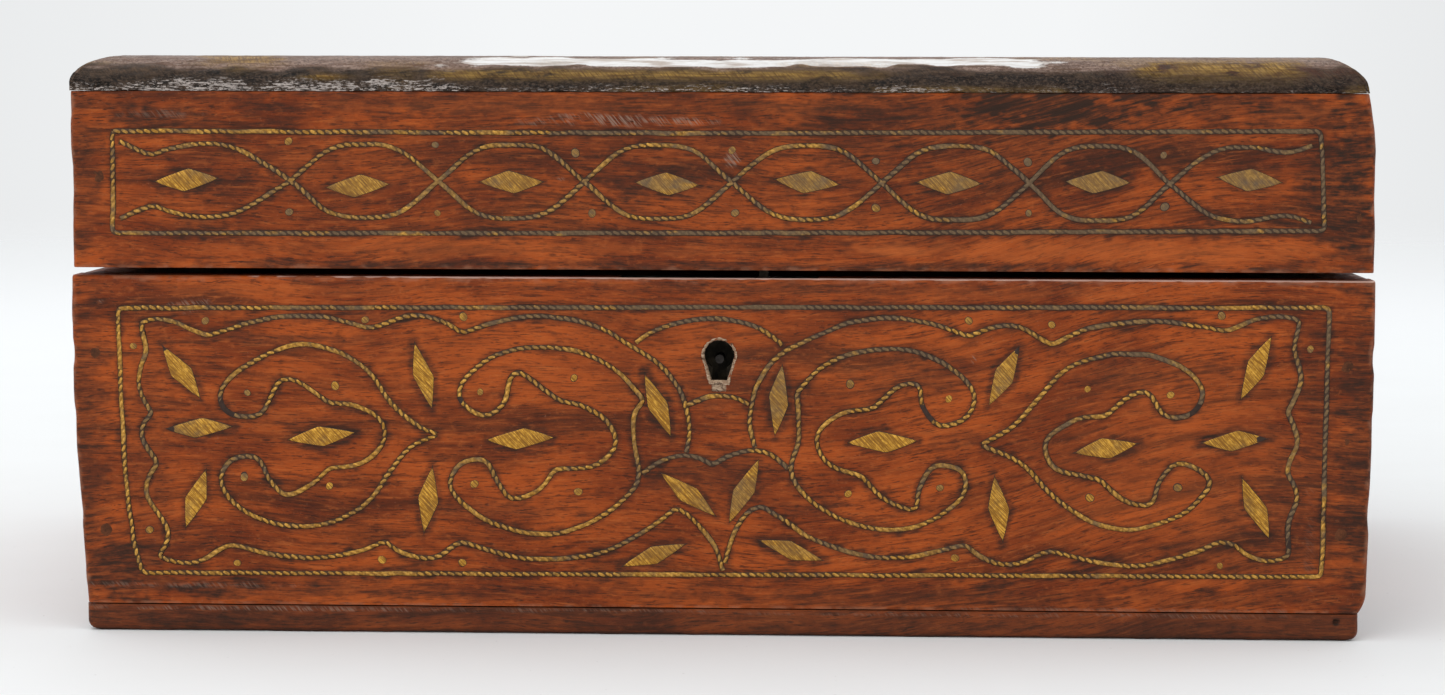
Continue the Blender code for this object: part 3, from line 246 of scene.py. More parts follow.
# Marks on the wood of the front and of the bottom board, and a painted highlight: (x, z, reach in x, reach in
# z, strength).
DARK_MARKS = [
    (0, 119, 150, 4.5, 0.6), (80, 118, 70, 5, 0.7), (140, 104, 10, 26, 0.95), (143, 45, 6, 46, 0.8),
    (70, 110, 80, 8, 0.6), (-60, 120, 50, 2.5, 0.6), (125, 22, 24, 14, 0.5), (-20, 108, 130, 8, 0.42),
    (60, 117.5, 100, 5, 0.7), (-20, 113.5, 130, 2.2, 0.55), (136, 104, 12, 22, 0.75),
    (60, 111.5, 90, 2, 0.5), (-142, 108, 5, 14, 0.6), (74, 118.5, 26, 6.5, 1.3), (108, 119.5, 16, 2.5, 0.9),
    (0, 102, 150, 16, 0.3), (-126, 116.3, 12, 2.6, 0.9), (-20, 116.5, 34, 2.2, 0.5),
    (-40, 112.3, 40, 1.6, 0.5), (-143, 100, 5, 22, 0.55), (0, 83.2, 150, 1.4, 0.7), (-143, 40, 6, 42, 0.65),
    (60, 9, 90, 3.5, 0.5), (-80, 9.5, 60, 2, 0.6), (-110, 10, 26, 2.6, 0.9), (-134, 14, 12, 9, 0.8),
    (-124, 20, 10, 6, 0.4), (124, 14, 12, 7, 0.5), (-138, 63, 7, 1, 0.7), (-100, 66.5, 30, 1.4, 0.6),
    (-82, 71.5, 14, 2, 0.55), (10, 78.5, 60, 1.4, 0.5), (63, 12.5, 8, 3.5, 0.7), (0, 60, 9, 10, 0.35),
    (-46, 28, 20, 2, 0.5), (56, 45, 10, 3, 0.45), (140.5, 62, 3, 2.6, 0.8), (141, 95, 4, 3.5, 0.8),
    (126, 92, 10, 3, 0.7), (-115, 107, 18, 2, 0.5), (-82, 107, 12, 2, 0.5), (20, 30, 12, 3, 0.4),
    (-96, 48, 14, 2, 0.4), (-11, 101.5, 16, 6, 0.75), (20, 102, 13, 6, 0.5), (-119, 102, 16, 5, 0.5),
    (117, 103, 14, 6, 0.6), (62, 104, 10, 5, 0.5), (127, 30, 8, 20, 0.55), (134, 40, 6, 40, 0.5),
    (92, 60, 20, 5, 0.5), (44, 60, 16, 5, 0.5), (-2, 36, 18, 7, 0.55), (-128, 45, 6, 30, 0.4),
    (-40, 119.5, 70, 3.5, 0.55), (60, 118, 30, 3, 0.6), (141.3, 109.5, 5.5, 4.5, 0.8),
    (-10, 99, 16, 2, 0.4),
]
PALE_MARKS = [
    (-22, 115.6, 17, 1.3, 0.9), (-119, 74, 4, 1.2, 0.6), (-125, 116.7, 8, 0.9, 0.35),
    (3.2, 107, 1.6, 2, 0.8), (-139.2, 74.8, 0.9, 0.5, 0.9), (-60, 5.5, 80, 0.7, 0.3),
    (57, 62.8, 0.5, 1.1, 0.7), (-35, 102.6, 1.4, 0.4, 0.8), (-120, 10.5, 24, 0.6, 0.4),
    (132, 22, 1.2, 12, 0.15), (90, 6.6, 40, 0.5, 0.3),
]
BRIGHT_MARKS = [
    (39, 87.5, 9, 2, 1), (90, 87, 60, 2.8, 0.6), (-60, 87, 70, 2, 0.4), (-45, 119, 36, 2.4, 0.4),
    (18, 119, 18, 2, 0.4), (100, 40, 34, 24, 0.25), (-20, 62, 90, 16, 0.16), (-90, 8, 44, 4, 0.2),
    (60, 77.5, 40, 1.5, 0.35), (128, 118, 8, 2.5, 0.5), (-100, 77.5, 34, 1.5, 0.3), (30, 8.5, 50, 3, 0.15),
]
BOARD_DARK = [
    (-110, 3, 40, 2, 0.7), (0, 4.4, 146, 0.9, 0.35), (60, 2, 60, 2, 0.45), (120, 3, 30, 3, 0.5),
    (-20, 2.5, 40, 1.5, 0.4),
]
# Painted highlight: thin pale lines along the bottom board's rounded top edge.
BOARD_TOP_HIGHLIGHT = [
    (-95, 5.3, 52, 0.5, 0.7), (-30, 5.5, 30, 0.35, 0.5), (40, 5.2, 40, 0.4, 0.35), (100, 5.4, 26, 0.4, 0.5),
]
# An empty nail hole in the bottom board's front.
NAIL_HOLE = (138.2, 4.3)

KEYHOLE_X, KEYHOLE_Z, KEYHOLE_RADIUS = 0.2, 63.3, 3.2
KEYHOLE_WAIST, KEYHOLE_FOOT = 1.5, 57.6
KEYHOLE_SILL = 55.4


# Noise, distances and lines, in millimetres.

def flat(*parts):
    """Arrays of one shape, or numbers, as the columns of a table."""
    return np.column_stack([part.ravel() for part in np.broadcast_arrays(*parts)])


def lumps(u, v, size, seed):
    """Smooth random lumps of about that size in u and v, from -1 to 1."""
    lattice = np.random.default_rng(seed).uniform(-1, 1, (256, 256))
    u, v = np.asarray(u) / size[0], np.asarray(v) / size[1]
    i, j = np.floor(u).astype(int), np.floor(v).astype(int)
    a, b = u - i, v - j
    a, b = a * a * (3 - 2 * a), b * b * (3 - 2 * b)

    def corner(di, dj):
        return lattice[(i + di) % 256, (j + dj) % 256]

    near = corner(0, 0) * (1 - a) + corner(1, 0) * a
    far = corner(0, 1) * (1 - a) + corner(1, 1) * a
    return near * (1 - b) + far * b


def smoothstep(value, low, high):
    """0 at low or below, 1 at high or above, and smooth between."""
    t = np.clip((value - low) / (high - low), 0, 1)
    return t * t * (3 - 2 * t)


def bell(value, middle, width, power=2):
    """1 at the middle, and falling smoothly to 0 past the width on both sides."""
    return np.exp(-((value - middle) / width) ** power)


def painted(u, v, marks, seed):
    """Soft ragged patches at the marks, as strong as they say."""
    ragged = 0.45 * lumps(u, v, (5, 1.6), seed) + 0.3 * lumps(u, v, (1.6, 0.7), seed + 1)
    total = np.zeros(np.shape(u))
    for x, z, reach_x, reach_z, strength in marks:
        away = np.hypot((u - x) / reach_x, (v - z) / reach_z)
        total = np.maximum(total, strength * smoothstep(-away + ragged, -1.25, -0.35))
    return total


def half_width(z, side):
    """How far the base reaches at a height, to the right where side is 1 and to the left where it is -1."""
    height = np.asarray(z, float)
    below = (np.clip(TAPER_FROM - height, 0, None) / (TAPER_FROM - BOTTOM_BOARD)) ** 1.2
    foot = np.clip(BOTTOM_BOARD + FOOT_HEIGHT - height, 0, None) / FOOT_HEIGHT
    return BASE_HALF - np.where(side > 0, TAPER_RIGHT * below + FOOT_ROUNDING * foot ** 2, TAPER_LEFT * below)


def lid_half(z, side):
    """How far the lid reaches, the same at every height and on both sides."""
    return LID_HALF


# Each front's lowest and highest z, and how far it reaches to its sides.
CASE = {"base": (BASE_LOW.z, BASE_HIGH.z, half_width), "lid": (LID_LOW.z, LID_HIGH.z, lid_half)}


def chipped(half, seed):
    """A half width with small chips out of it, but none at the lid's top."""
    def chipped_half(z, side):
        below_top = smoothstep(-z, -LID_HIGH.z + 2, -LID_HIGH.z + 8)
        return half(z, side) - 0.3 * smoothstep(lumps(z, 0 * z, (7, 1), seed), 0.1, 1.0) * below_top
    return chipped_half


def smooth_run(points, step=0.3):
    """A run's points as a Catmull-Rom curve."""
    points = np.array(points, float)
    padded = np.vstack([2 * points[0] - points[1], points, 2 * points[-1] - points[-2]])
    samples = []
    for a, b, c, d in zip(padded, padded[1:], padded[2:], padded[3:]):
        count = max(2, int(np.linalg.norm(c - b) / step))
        t = np.linspace(0, 1, count, endpoint=False)[:, None]
        samples.append(0.5 * (2 * b + (c - a) * t + (2 * a - 5 * b + 4 * c - d) * t ** 2
                              + (3 * b - a - 3 * c + d) * t ** 3))
    return np.vstack(samples + [points[-1:]])


def running_length(line):
    return np.concatenate([[0], np.cumsum(np.linalg.norm(np.diff(line, axis=0), axis=1))])


def evenly(line, step=None, count=None):
    """The line's points moved to even steps, or to a count of them."""
    length = running_length(line)
    at = np.linspace(0, length[-1], count or max(2, int(length[-1] / step)))
    return np.column_stack([np.interp(at, length, part) for part in line.T])


def wire_line(course, closed, step=0.22, reach=4):
    """A wire's middle line: the whole course, with its cusps bent as tightly as a wire can be."""
    starts = [[]] + [[run[-1]] for run in course]
    line = evenly(np.vstack([smooth_run(start + run) for start, run in zip(starts, course)]), step)
    weights = np.ones(2 * reach + 1) / (2 * reach + 1)
    for _ in range(2):
        before, after = 2 * line[0] - line[reach:0:-1], 2 * line[-1] - line[-2:-reach - 2:-1]
        if closed:
            before, after = line[-reach - 1:-1], line[1:reach + 1]
        padded = np.vstack([before, line, after])
        line = np.column_stack([np.convolve(part, weights, "valid") for part in padded.T])
    sway = 0.12 * np.column_stack([lumps(line[:, 0], line[:, 1], (4, 4), 50 + i) for i in (0, 1)])
    return evenly(line + sway, step)


def chain_strand(bow):
    """One strand of the lid's chain, as a course of a single run that starts to one side, 1 up or -1 down."""
    start, end = CHAIN_ENDS
    points = [(start, CHAIN_MIDDLE + bow * (CHAIN_BOW + 0.5)),
              (start + 7, CHAIN_MIDDLE + bow * (CHAIN_BOW - 2.4))]
    middles = [(a + b) / 2 for a, b in zip(CHAIN_CROSSINGS, CHAIN_CROSSINGS[1:])]
    turns = [CHAIN_TURNS[0], *middles, CHAIN_TURNS[1]]
    for turn, crossing in zip(turns, CHAIN_CROSSINGS + [None]):
        points += [(turn + offset, CHAIN_MIDDLE + bow * CHAIN_BOW * share)
                   for offset, share in ((-8, 0.84), (0, 1), (8, 0.84))]
        if crossing is not None:
            points.append((crossing, CHAIN_MIDDLE))
            bow = -bow
    return [points + [(end, CHAIN_MIDDLE + bow * (CHAIN_BOW + 0.3))]]


# Meshes.

def grid_faces(columns, rows):
    """Quads of a grid of points numbered row by row."""
    first = (np.arange(rows - 1)[:, None] * columns + np.arange(columns - 1)).ravel()
    return np.column_stack([first, first + 1, first + columns + 1, first + columns])


def grid_rim(columns, rows):
    """The grid's outer points, once round."""
    number = np.arange(rows * columns).reshape(rows, columns)
    return np.concatenate([number[0, :], number[1:, -1], number[-1, -2::-1], number[-2:0:-1, 0]])


def walls(near, far):
    """Quads between two rings of points."""
    return np.column_stack([near, np.roll(near, -1), np.roll(far, -1), far])


def linked(name, data):
    """A new object in the scene."""
    made = bpy.data.objects.new(name, data)
    bpy.context.scene.collection.objects.link(made)
    return made


def written(bm, mesh=None):
    """The bmesh as a mesh, a new one unless one is given."""
    mesh = mesh or bpy.data.meshes.new("cutter")
    bm.to_mesh(mesh)
    bm.free()
    return mesh


def mesh_object(name, points, faces, material):
    """A smooth object from points in millimetres, with its faces turned outwards."""
    mesh = bpy.data.meshes.new(name)
    mesh.from_pydata((np.asarray(points) * MM).tolist(), [], [list(map(int, face)) for face in faces])
    bm = bmesh.new()
    bm.from_mesh(mesh)
    bmesh.ops.recalc_face_normals(bm, faces=bm.faces)
    written(bm, mesh)
    mesh.materials.append(material)
    mesh.shade_smooth()
    return linked(name, mesh)


def paint(obj, name, *layers):
    """Four layers as a colour attribute on the object's points."""
    layer = obj.data.color_attributes.new(name, "FLOAT_COLOR", "POINT")
    layer.data.foreach_set("color", flat(*layers).astype(np.float32).ravel())


def lean_in(mesh):
    """Wear at the lid's upper right end, where the wood and the brass have been knocked and rounded inwards."""
    place = np.empty(3 * len(mesh.vertices))
    mesh.vertices.foreach_get("co", place)
    place = place.reshape(-1, 3)
    x, y, z = place.T / MM
    rise = np.clip((z - SHOULDER_FROM) / (LID_TOP - SHOULDER_FROM), 0, 1) ** 2
    worn = rise * smoothstep(x, SHOULDER_IN, LID_HALF) * (0.4 + 0.6 * smoothstep(-y, -60, 60))
    place[:, 0] -= SHOULDER * MM * worn
    mesh.vertices.foreach_set("co", place.ravel())
    mesh.update()


def settle(obj, body, slot, *nodes):
    """The piece rides on its body, in place of any CAD nodes. Its slot is not used."""
    if body == "lid":
        lean_in(obj.data)
    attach(obj, body)
    if nodes:
        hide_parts(*nodes)
    return obj


def box_cutter(low, high):
    """A box to cut with, between two corners in millimetres."""
    low, high = Vector(low), Vector(high)
    place = Matrix.Translation((low + high) / 2) @ Matrix.Diagonal((*(high - low), 1))
    bm = bmesh.new()
    bmesh.ops.create_cube(bm, size=1, matrix=Matrix.Scale(MM, 4) @ place)
    return written(bm)


def prism_cutter(outline, low, high):
    """An (x, z) outline to cut with, from low to high in y, all in millimetres."""
    bm = bmesh.new()
    face = bm.faces.new([bm.verts.new((x * MM, low * MM, z * MM)) for x, z in outline])
    for item in bmesh.ops.extrude_face_region(bm, geom=[face])["geom"]:
        if isinstance(item, bmesh.types.BMVert):
            item.co.y = high * MM
    bmesh.ops.recalc_face_normals(bm, faces=bm.faces)
    return written(bm)


def cut(obj, cutters):
    """Cuts the meshes out of the object, and leaves no modifier behind."""
    helpers = [linked("cutter", mesh) for mesh in cutters]
    for helper in helpers:
        modifier = obj.modifiers.new("cut", "BOOLEAN")
        modifier.object = helper
        modifier.solver = "MANIFOLD"
    bpy.context.view_layer.update()
    done = bpy.data.meshes.new_from_object(obj.evaluated_get(bpy.context.evaluated_depsgraph_get()))
    obj.modifiers.clear()
    obj.data = done
    for helper in helpers:
        bpy.data.objects.remove(helper, do_unlink=True)


# Materials.

class Nodes:
    """A node tree filled by short calls. Most calls give back the new node's output."""

    def __init__(self, tree):
        self.tree = tree

    def node(self, kind, **inputs):
        made = self.tree.nodes.new("ShaderNode" + kind)
        for name, value in inputs.items():
            self.put(made.inputs[name.replace("_", " ")], value)
        return made

    def put(self, socket, value):
        if isinstance(value, bpy.types.NodeSocket):
            self.tree.links.new(value, socket)
        elif isinstance(value, tuple) and len(value) == 3 and socket.type == "RGBA":
            socket.default_value = (*value, 1)
        else:
            socket.default_value = value

    def math(self, operation, a, b=0.0, clamp=False):
        made = self.node("Math")
        made.operation = operation
        made.use_clamp = clamp
        self.put(made.inputs[0], a)
        self.put(made.inputs[1], b)
        return made.outputs[0]

    def add(self, a, b, clamp=False):
        return self.math("ADD", a, b, clamp)

    def times(self, a, b, clamp=False):
        return self.math("MULTIPLY", a, b, clamp)

    def span(self, value, low, high, to_low=0.0, to_high=1.0):
        """The value from low to high as to_low to to_high, eased at both ends."""
        made = self.node("MapRange", Value=value, From_Min=low, From_Max=high, To_Min=to_low, To_Max=to_high)
        made.interpolation_type = "SMOOTHSTEP"
        return made.outputs[0]

    def mix(self, factor, a, b):
        made = self.node("Mix")
        made.data_type = "RGBA"
        self.put(made.inputs[0], factor)
        self.put(made.inputs[6], a)
        self.put(made.inputs[7], b)
        return made.outputs[2]

    def layers(self, colour, *rows):
        """Shades laid over a colour, each as (mask, low, high, how much of it, shade)."""
        for mask, low, high, most, shade in rows:
            colour = self.mix(self.times(self.span(mask, low, high), most), colour, shade)
        return colour


class Shader(Nodes):
    """A material on the object's own coordinates."""

    def __init__(self, name):
        self.material = bpy.data.materials.new(name)
        self.material.use_nodes = True
        super().__init__(self.material.node_tree)
        self.surface = self.tree.nodes["Principled BSDF"]
        self.place = self.node("TexCoord").outputs["Object"]
        self.x, self.y, self.z = self.node("SeparateXYZ", Vector=self.place).outputs

    def noise(self, size, detail=3.0, rough=0.5, turn=None, offset=0.0, bend=0.0, place=None):
        """Noise of about that size in x, y and z, in millimetres, after a turn about the axes."""
        place = place or self.place
        if turn:
            place = self.node("Mapping", Vector=place, Rotation=turn).outputs[0]
        scale = tuple(1 / (part * MM) for part in size)
        place = self.node("Mapping", Vector=place, Scale=scale, Location=(offset, offset, offset)).outputs[0]
        return self.node("TexNoise", Vector=place, Scale=1.0, Detail=detail, Roughness=rough,
                         Distortion=bend).outputs[0]

    def attribute(self, name):
        """The four layers of a colour attribute."""
        made = self.node("Attribute")
        made.attribute_name = name
        parts = self.node("SeparateColor", Color=made.outputs["Color"])
        return (*parts.outputs, made.outputs["Alpha"])

    def bump(self, height, distance, **under):
        return self.node("Bump", Height=height, Distance=distance * MM, Strength=1.0, **under).outputs[0]

    def finish(self, colour, roughness, **inputs):
        inputs |= {"Base_Color": colour, "Roughness": roughness}
        for name, value in inputs.items():
            self.put(self.surface.inputs[name.replace("_", " ")], value)
        return self.material


def rosewood(name, axis="x", dull=0.0, offset=0.0, faded=(0.046, 0.025, 0.016)):
    """Old waxed rosewood with its grain along an axis; dull takes its red away towards the faded colour."""
    s = Shader(name)

    def grain(long, wide, detail, rough=0.5, shift=0, **more):
        size = (long, wide, wide) if axis == "x" else (wide, long, wide)
        return s.noise(size, detail, rough, offset=offset + shift, **more)

    lift = s.times(s.add(grain(75, 34, 1.5), -0.5), 0.015)
    climb = s.span(s.x, 0.0, 0.145, 0.0, -0.017)
    across = s.node("CombineXYZ", X=s.x, Y=s.y, Z=s.add(s.z, s.add(lift, climb))).outputs[0]
    bands = grain(62, 5.5, 4, 0.62, 3, bend=0.6, place=across)
    clouds = grain(30, 11, 3, 0.55, 8, place=across)
    streaks = grain(8.5, 0.72, 3, 0.62, 5, bend=0.2, place=across)
    fibres = grain(3.4, 0.17, 2, 0.6, 9, place=across)
    pores = grain(2.5, 0.25, 2, 0.5, 7, place=across)
    mottle = s.noise((2.2, 2.2, 1.3), 4, 0.65, offset=offset + 1)
    grit = s.noise((0.5, 0.5, 0.36), 2, 0.6, offset=offset + 2)

    deep, pale = (0.036, 0.0130, 0.0078), (0.450, 0.115, 0.026)
    colour = s.mix(s.span(clouds, 0.34, 0.62), (0.175, 0.032, 0.0080), (0.370, 0.072, 0.0125))
    colour = s.layers(
        colour, (bands, 0.48, 0.70, 0.68, deep), (streaks, 0.50, 0.70, 0.62, deep),
        (streaks, 0.46, 0.28, 0.45, pale), (fibres, 0.50, 0.74, 0.42, (0.085, 0.024, 0.011)),
        (pores, 0.58, 0.68, 0.70, (0.026, 0.011, 0.008)), (mottle, 0.55, 0.74, 0.45, deep),
        (mottle, 0.46, 0.28, 0.28, pale), (grit, 0.62, 0.78, 0.36, (0.28, 0.13, 0.075)))
    if dull:
        colour = s.mix(dull, colour, faded)

    dark, scuffed, bright, edge = s.attribute("marks")
    torn = s.add(s.times(s.add(mottle, -0.5), 1.0), s.times(s.add(streaks, -0.5), 1.0))
    dark = s.times(dark, s.span(torn, -0.30, 0.30, 0.62, 1.15), True)
    dark = s.times(dark, s.span(streaks, 0.34, 0.60, 0.78, 0.97))
    colour = s.mix(s.times(bright, 0.70), colour, s.mix(fibres, (0.52, 0.130, 0.028), (0.36, 0.080, 0.02)))
    colour = s.mix(dark, colour, (0.028, 0.0160, 0.0112))
    scratches = s.noise((0.3, 0.3, 4.5), 2, 0.5, turn=(0, 0.7, 0), offset=4)
    # The pale layer holds scuffs, and on the bottom board a painted highlight along its top edge.
    scuff = s.times(scuffed, s.span(scratches, 0.44, 0.62), True)
    colour = s.mix(s.times(scuff, 0.8), colour, (0.27, 0.175, 0.13))
    worn = s.times(edge, s.span(s.noise((3, 3, 3), 3, offset=6), 0.40, 0.62), True)
    colour = s.mix(s.times(worn, 0.55), colour, (0.33, 0.140, 0.080))
    # Painted highlight: where the edge layer goes past 1, a pale pink line is painted, as along the base's top
    # edge.
    colour = s.layers(colour, (edge, 1.0, 1.5, 0.85, (0.66, 0.44, 0.36)))

    height = s.add(s.times(pores, -0.6), s.times(streaks, -0.4))
    height = s.add(s.add(height, s.times(grit, 0.3)), s.times(fibres, -0.25))
    return s.finish(colour, s.span(mottle, 0.3, 0.7, 0.40, 0.60), Normal=s.bump(height, 0.16),
                    Specular_IOR_Level=0.09)


def raw_wood(name):
    """Bare wood where the surface is chipped, greyed by handling."""
    s = Shader(name)
    fibre = s.noise((1.4, 1.4, 0.22), 3, 0.6)
    dirt = s.noise((0.9, 0.9, 0.9), 3, 0.6, offset=4)
    colour = s.mix(s.span(fibre, 0.35, 0.65), (0.25, 0.150, 0.092), (0.50, 0.365, 0.25))
    colour = s.mix(s.span(dirt, 0.52, 0.70), colour, (0.055, 0.030, 0.020))
    return s.finish(colour, 0.85, Normal=s.bump(fibre, 0.12), Specular_IOR_Level=0.1)


def inlay_brass(name, strands):
    """Brass let into the wood: a twisted pair of wires where strands is set, or a filed plate."""
    s = Shader(name)
    along, side, tarnish, metal = s.attribute("inlay")
    side = s.add(side, -2.0)
    fine = s.noise((0.7, 0.7, 0.7), 3, 0.6)
    blotch = s.noise((5, 5, 5), 3, 0.6, offset=3)
    filed = s.noise((0.14, 1, 3.4), 2, 0.5, turn=(0, 0.75, 0), offset=2)
    dull = s.add(tarnish, s.span(blotch, 0.48, 0.72, 0.0, 0.42), True)
    if strands:
        each = s.noise((1.9, 1.9, 1.9), 1, offset=5)
        dull = s.add(dull, s.span(each, 0.50, 0.72, 0.0, 0.45), True)
        gold = s.mix(s.span(fine, 0.35, 0.7), (0.33, 0.160, 0.028), (0.64, 0.345, 0.072))
    else:
        gold = s.mix(s.span(fine, 0.35, 0.7), (0.44, 0.215, 0.028), (0.74, 0.400, 0.064))
        gold = s.mix(s.span(filed, 0.42, 0.60), (0.25, 0.112, 0.020), gold)
    colour = s.mix(s.times(dull, 0.95), gold, s.mix(fine, (0.066, 0.043, 0.027), (0.180, 0.118, 0.066)))
    height = s.times(filed, 0.5)
    if strands:
        turn = s.math("FRACT", s.add(s.times(along, 1 / TWIST), s.times(side, SLANT)))
        from_middle = s.math("ABSOLUTE", s.add(turn, -0.5))
        from_line = s.math("POWER", s.math("ABSOLUTE", side), 2.0)
        lens = s.add(s.times(from_middle, 2.0), s.times(from_line, LENS))
        clear = s.span(s.noise((8, 8, 8), 2, offset=9), 0.38, 0.50, 0.30, 1.0)
        crease = s.times(s.span(lens, 0.60, 0.86), clear)
        colour = s.mix(s.times(crease, 0.90), colour, (0.042, 0.024, 0.016))
        height = s.add(s.times(fine, 0.2), s.math("SUBTRACT", 1.0, lens))
    crumb = s.span(s.add(metal, s.times(s.add(fine, -0.5), 0.5)), 0.35, 0.6)
    colour = s.mix(crumb, s.mix(blotch, (0.020, 0.013, 0.010), (0.052, 0.026, 0.017)), colour)
    shine = s.times(crumb, s.span(dull, 0.2, 0.9, 0.75, 0.05))
    roughness = s.span(s.add(dull, s.times(fine, 0.3)), 0.1, 1.1, 0.38, 0.66)
    return s.finish(colour, roughness, Metallic=shine, Normal=s.bump(height, 0.12 if strands else 0.06),
                    Specular_IOR_Level=0.2)


def crusted_brass(name):
    """The lid's brass edging: black crust, rubbed through to gold in places, with painted reflection, glints
    and highlight.
    """
    s = Shader(name)
    rubbed_gold_and_highlight, lip, painted_top_reflection, crust = s.attribute("wear_and_painted_light")
    grain = s.noise((0.8, 0.8, 0.45), 5, 0.74, bend=0.6)
    blotch = s.noise((6, 6, 1.8), 4, 0.65, offset=2)
    filed = s.noise((0.26, 3, 2.6), 2, 0.5, turn=(0, 0.75, 0), offset=5)
    drawn = s.noise((9, 9, 0.5), 3, 0.6, offset=8)
    brown = s.mix(s.span(blotch, 0.38, 0.62), (0.036, 0.021, 0.013), (0.115, 0.068, 0.040))
    red = s.times(s.span(s.x, 0.03, 0.10), s.span(blotch, 0.62, 0.40))
    brown = s.mix(s.times(red, 0.75), brown, (0.100, 0.036, 0.018))
    brown = s.layers(brown, (filed, 0.45, 0.62, 0.55, (0.026, 0.017, 0.012)))
    crumbs = s.mix(s.span(grain, 0.44, 0.64), (0.007, 0.005, 0.004), (0.105, 0.070, 0.050))
    colour = s.mix(s.times(crust, s.span(blotch, 0.30, 0.66, 1.0, 0.55), True), brown, crumbs)
    # Painted reflection: the upper bend is painted paler mauve, and white where the mask runs high, for the
    # bright tent mirrored in it.
    mauve = s.mix(s.span(grain, 0.35, 0.62), (0.120, 0.066, 0.046), (0.400, 0.280, 0.225))
    mauve = s.layers(mauve, (drawn, 0.46, 0.62, 0.75, (0.135, 0.062, 0.034)))
    colour = s.mix(s.span(painted_top_reflection, 0.0, 0.5), colour, mauve)
    uneven = s.add(s.times(s.add(grain, -0.5), 0.5), s.times(s.add(drawn, -0.5), 0.7))
    bright = s.span(s.add(painted_top_reflection, uneven), 0.55, 0.80)
    white = s.mix(s.span(drawn, 0.70, 0.42), (0.62, 0.53, 0.47), (0.96, 0.945, 0.93))
    colour = s.mix(bright, colour, white)
    # Gold is rubbed-through brass, and near the top at both ends of the front also a painted golden highlight.
    gold = s.mix(s.span(filed, 0.28, 0.70), (0.170, 0.088, 0.022), (0.52, 0.31, 0.078))
    gold = s.layers(gold, (drawn, 0.42, 0.62, 0.8, (0.155, 0.080, 0.026)))
    rub = s.times(rubbed_gold_and_highlight, s.span(blotch, 0.30, 0.50), True)
    colour = s.mix(rub, colour, gold)
    # Painted glints: pale flecks along the lower lip, standing in for light caught by the crust.
    streaky = s.times(s.noise((3.4, 3.4, 0.24), 4, 0.7, bend=1.0, offset=7), 0.55)
    flecks = s.add(streaky, s.times(s.noise((1.0, 1.0, 0.42), 3, 0.75, offset=17), 0.45))
    flecks = s.span(s.add(flecks, s.times(lip, 0.030)), 0.555, 0.605)
    glint = s.times(s.times(lip, flecks, True), 0.95)
    colour = s.mix(glint, colour, s.mix(grain, (0.34, 0.26, 0.215), (0.80, 0.73, 0.69)))
    metallic = s.add(s.math("MAXIMUM", s.times(rub, 0.5), s.times(bright, 0.8)), 0.04, True)
    normal = s.bump(grain, 0.7, Normal=s.bump(blotch, 0.5))
    return s.finish(colour, s.span(grain, 0.35, 0.7, 0.34, 0.58), Metallic=metallic, Normal=normal,
                    Specular_IOR_Level=0.22)


def old_metal(name, light, dark, rust, metallic=0.9, specular=0.25):
    """Cast or sheet fittings with dirt in their hollows."""
    s = Shader(name)
    blotch = s.noise((3, 3, 3), 4, 0.65)
    fine = s.noise((0.5, 0.5, 0.5), 3, 0.6, offset=3)
    brushed = s.noise((6, 0.25, 6), 2, 0.5, offset=6)
    colour = s.mix(s.span(blotch, 0.36, 0.62), light, dark)
    colour = s.layers(colour, (fine, 0.5, 0.75, 0.6, dark))
    colour = s.mix(s.span(s.add(blotch, s.times(fine, 0.4)), 0.78, 0.90), colour, rust)
    height = s.add(s.times(fine, 0.7), s.times(brushed, 0.4))
    return s.finish(colour, s.span(blotch, 0.35, 0.65, 0.34, 0.60), Normal=s.bump(height, 0.08),
                    Metallic=s.span(blotch, 0.4, 0.75, metallic, metallic * 0.5), Specular_IOR_Level=specular)


ROSEWOOD = rosewood("rosewood_along")
SIDE_ROSEWOOD = rosewood("rosewood_sides", axis="y", offset=20)
BOARD = rosewood("rosewood_boards", dull=0.45, offset=40)
TOP_ROSEWOOD = rosewood("rosewood_top", dull=0.12, offset=60)
INSIDE_WOOD = rosewood("bare_rosewood_inside", dull=0.55, offset=80, faded=(0.150, 0.078, 0.046))
RAW_WOOD = raw_wood("raw_wood")
STRAND_BRASS = inlay_brass("inlay_strands", True)
PLATE_BRASS = inlay_brass("inlay_plates", False)
EDGING_BRASS = crusted_brass("edging_brass")
FITTING_BRASS = old_metal("fitting_brass", (0.36, 0.22, 0.070), (0.17, 0.100, 0.040), (0.075, 0.048, 0.025))
# Painted shade: the lock's fittings are coloured nearly black, so that they stay dark in the shaded gap between
# lid and base.
SHADED_LOCK_BRASS = old_metal("shaded_lock_brass", (0.040, 0.030, 0.018), (0.013, 0.011, 0.008), (0.022, 0.018, 0.013),
                       0.2, 0.08)
NAIL_IRON = old_metal("nail_iron", (0.125, 0.042, 0.018), (0.050, 0.021, 0.012), (0.150, 0.050, 0.020),
                      0.0, 0.06)
KEY_PIN_IRON = old_metal("key_pin_iron", (0.030, 0.026, 0.024), (0.014, 0.012, 0.011), (0.030, 0.016, 0.010),
                         0.3, 0.1)
IRON = old_metal("old_iron", (0.12, 0.11, 0.10), (0.045, 0.038, 0.034), (0.10, 0.038, 0.018), 0.7)


# Inlay. Each shape is (points, faces, colours). The colours are its place along, its place across, how
# tarnished it is and whether it is metal.

def on_front(u, v, depth):
    """Points of the front at a depth behind its true face."""
    return flat(u, FRONT + depth, v)


def finish_of(u, v):
    """How tarnished the inlay is at a place, and whether its metal is still there."""
    tarnish = np.clip(painted(u, v, TARNISH, 90) + 0.18 * lumps(u, v, (9, 9), 91), 0, 1)
    metal = np.ones(np.shape(u))
    for x, z, reach in LOST:
        away = np.hypot(u - x, v - z) + 0.6 * lumps(u, v, (1.5, 1.5), 92)
        metal = np.minimum(metal, smoothstep(away, reach * 0.8, reach))
    return tarnish, metal


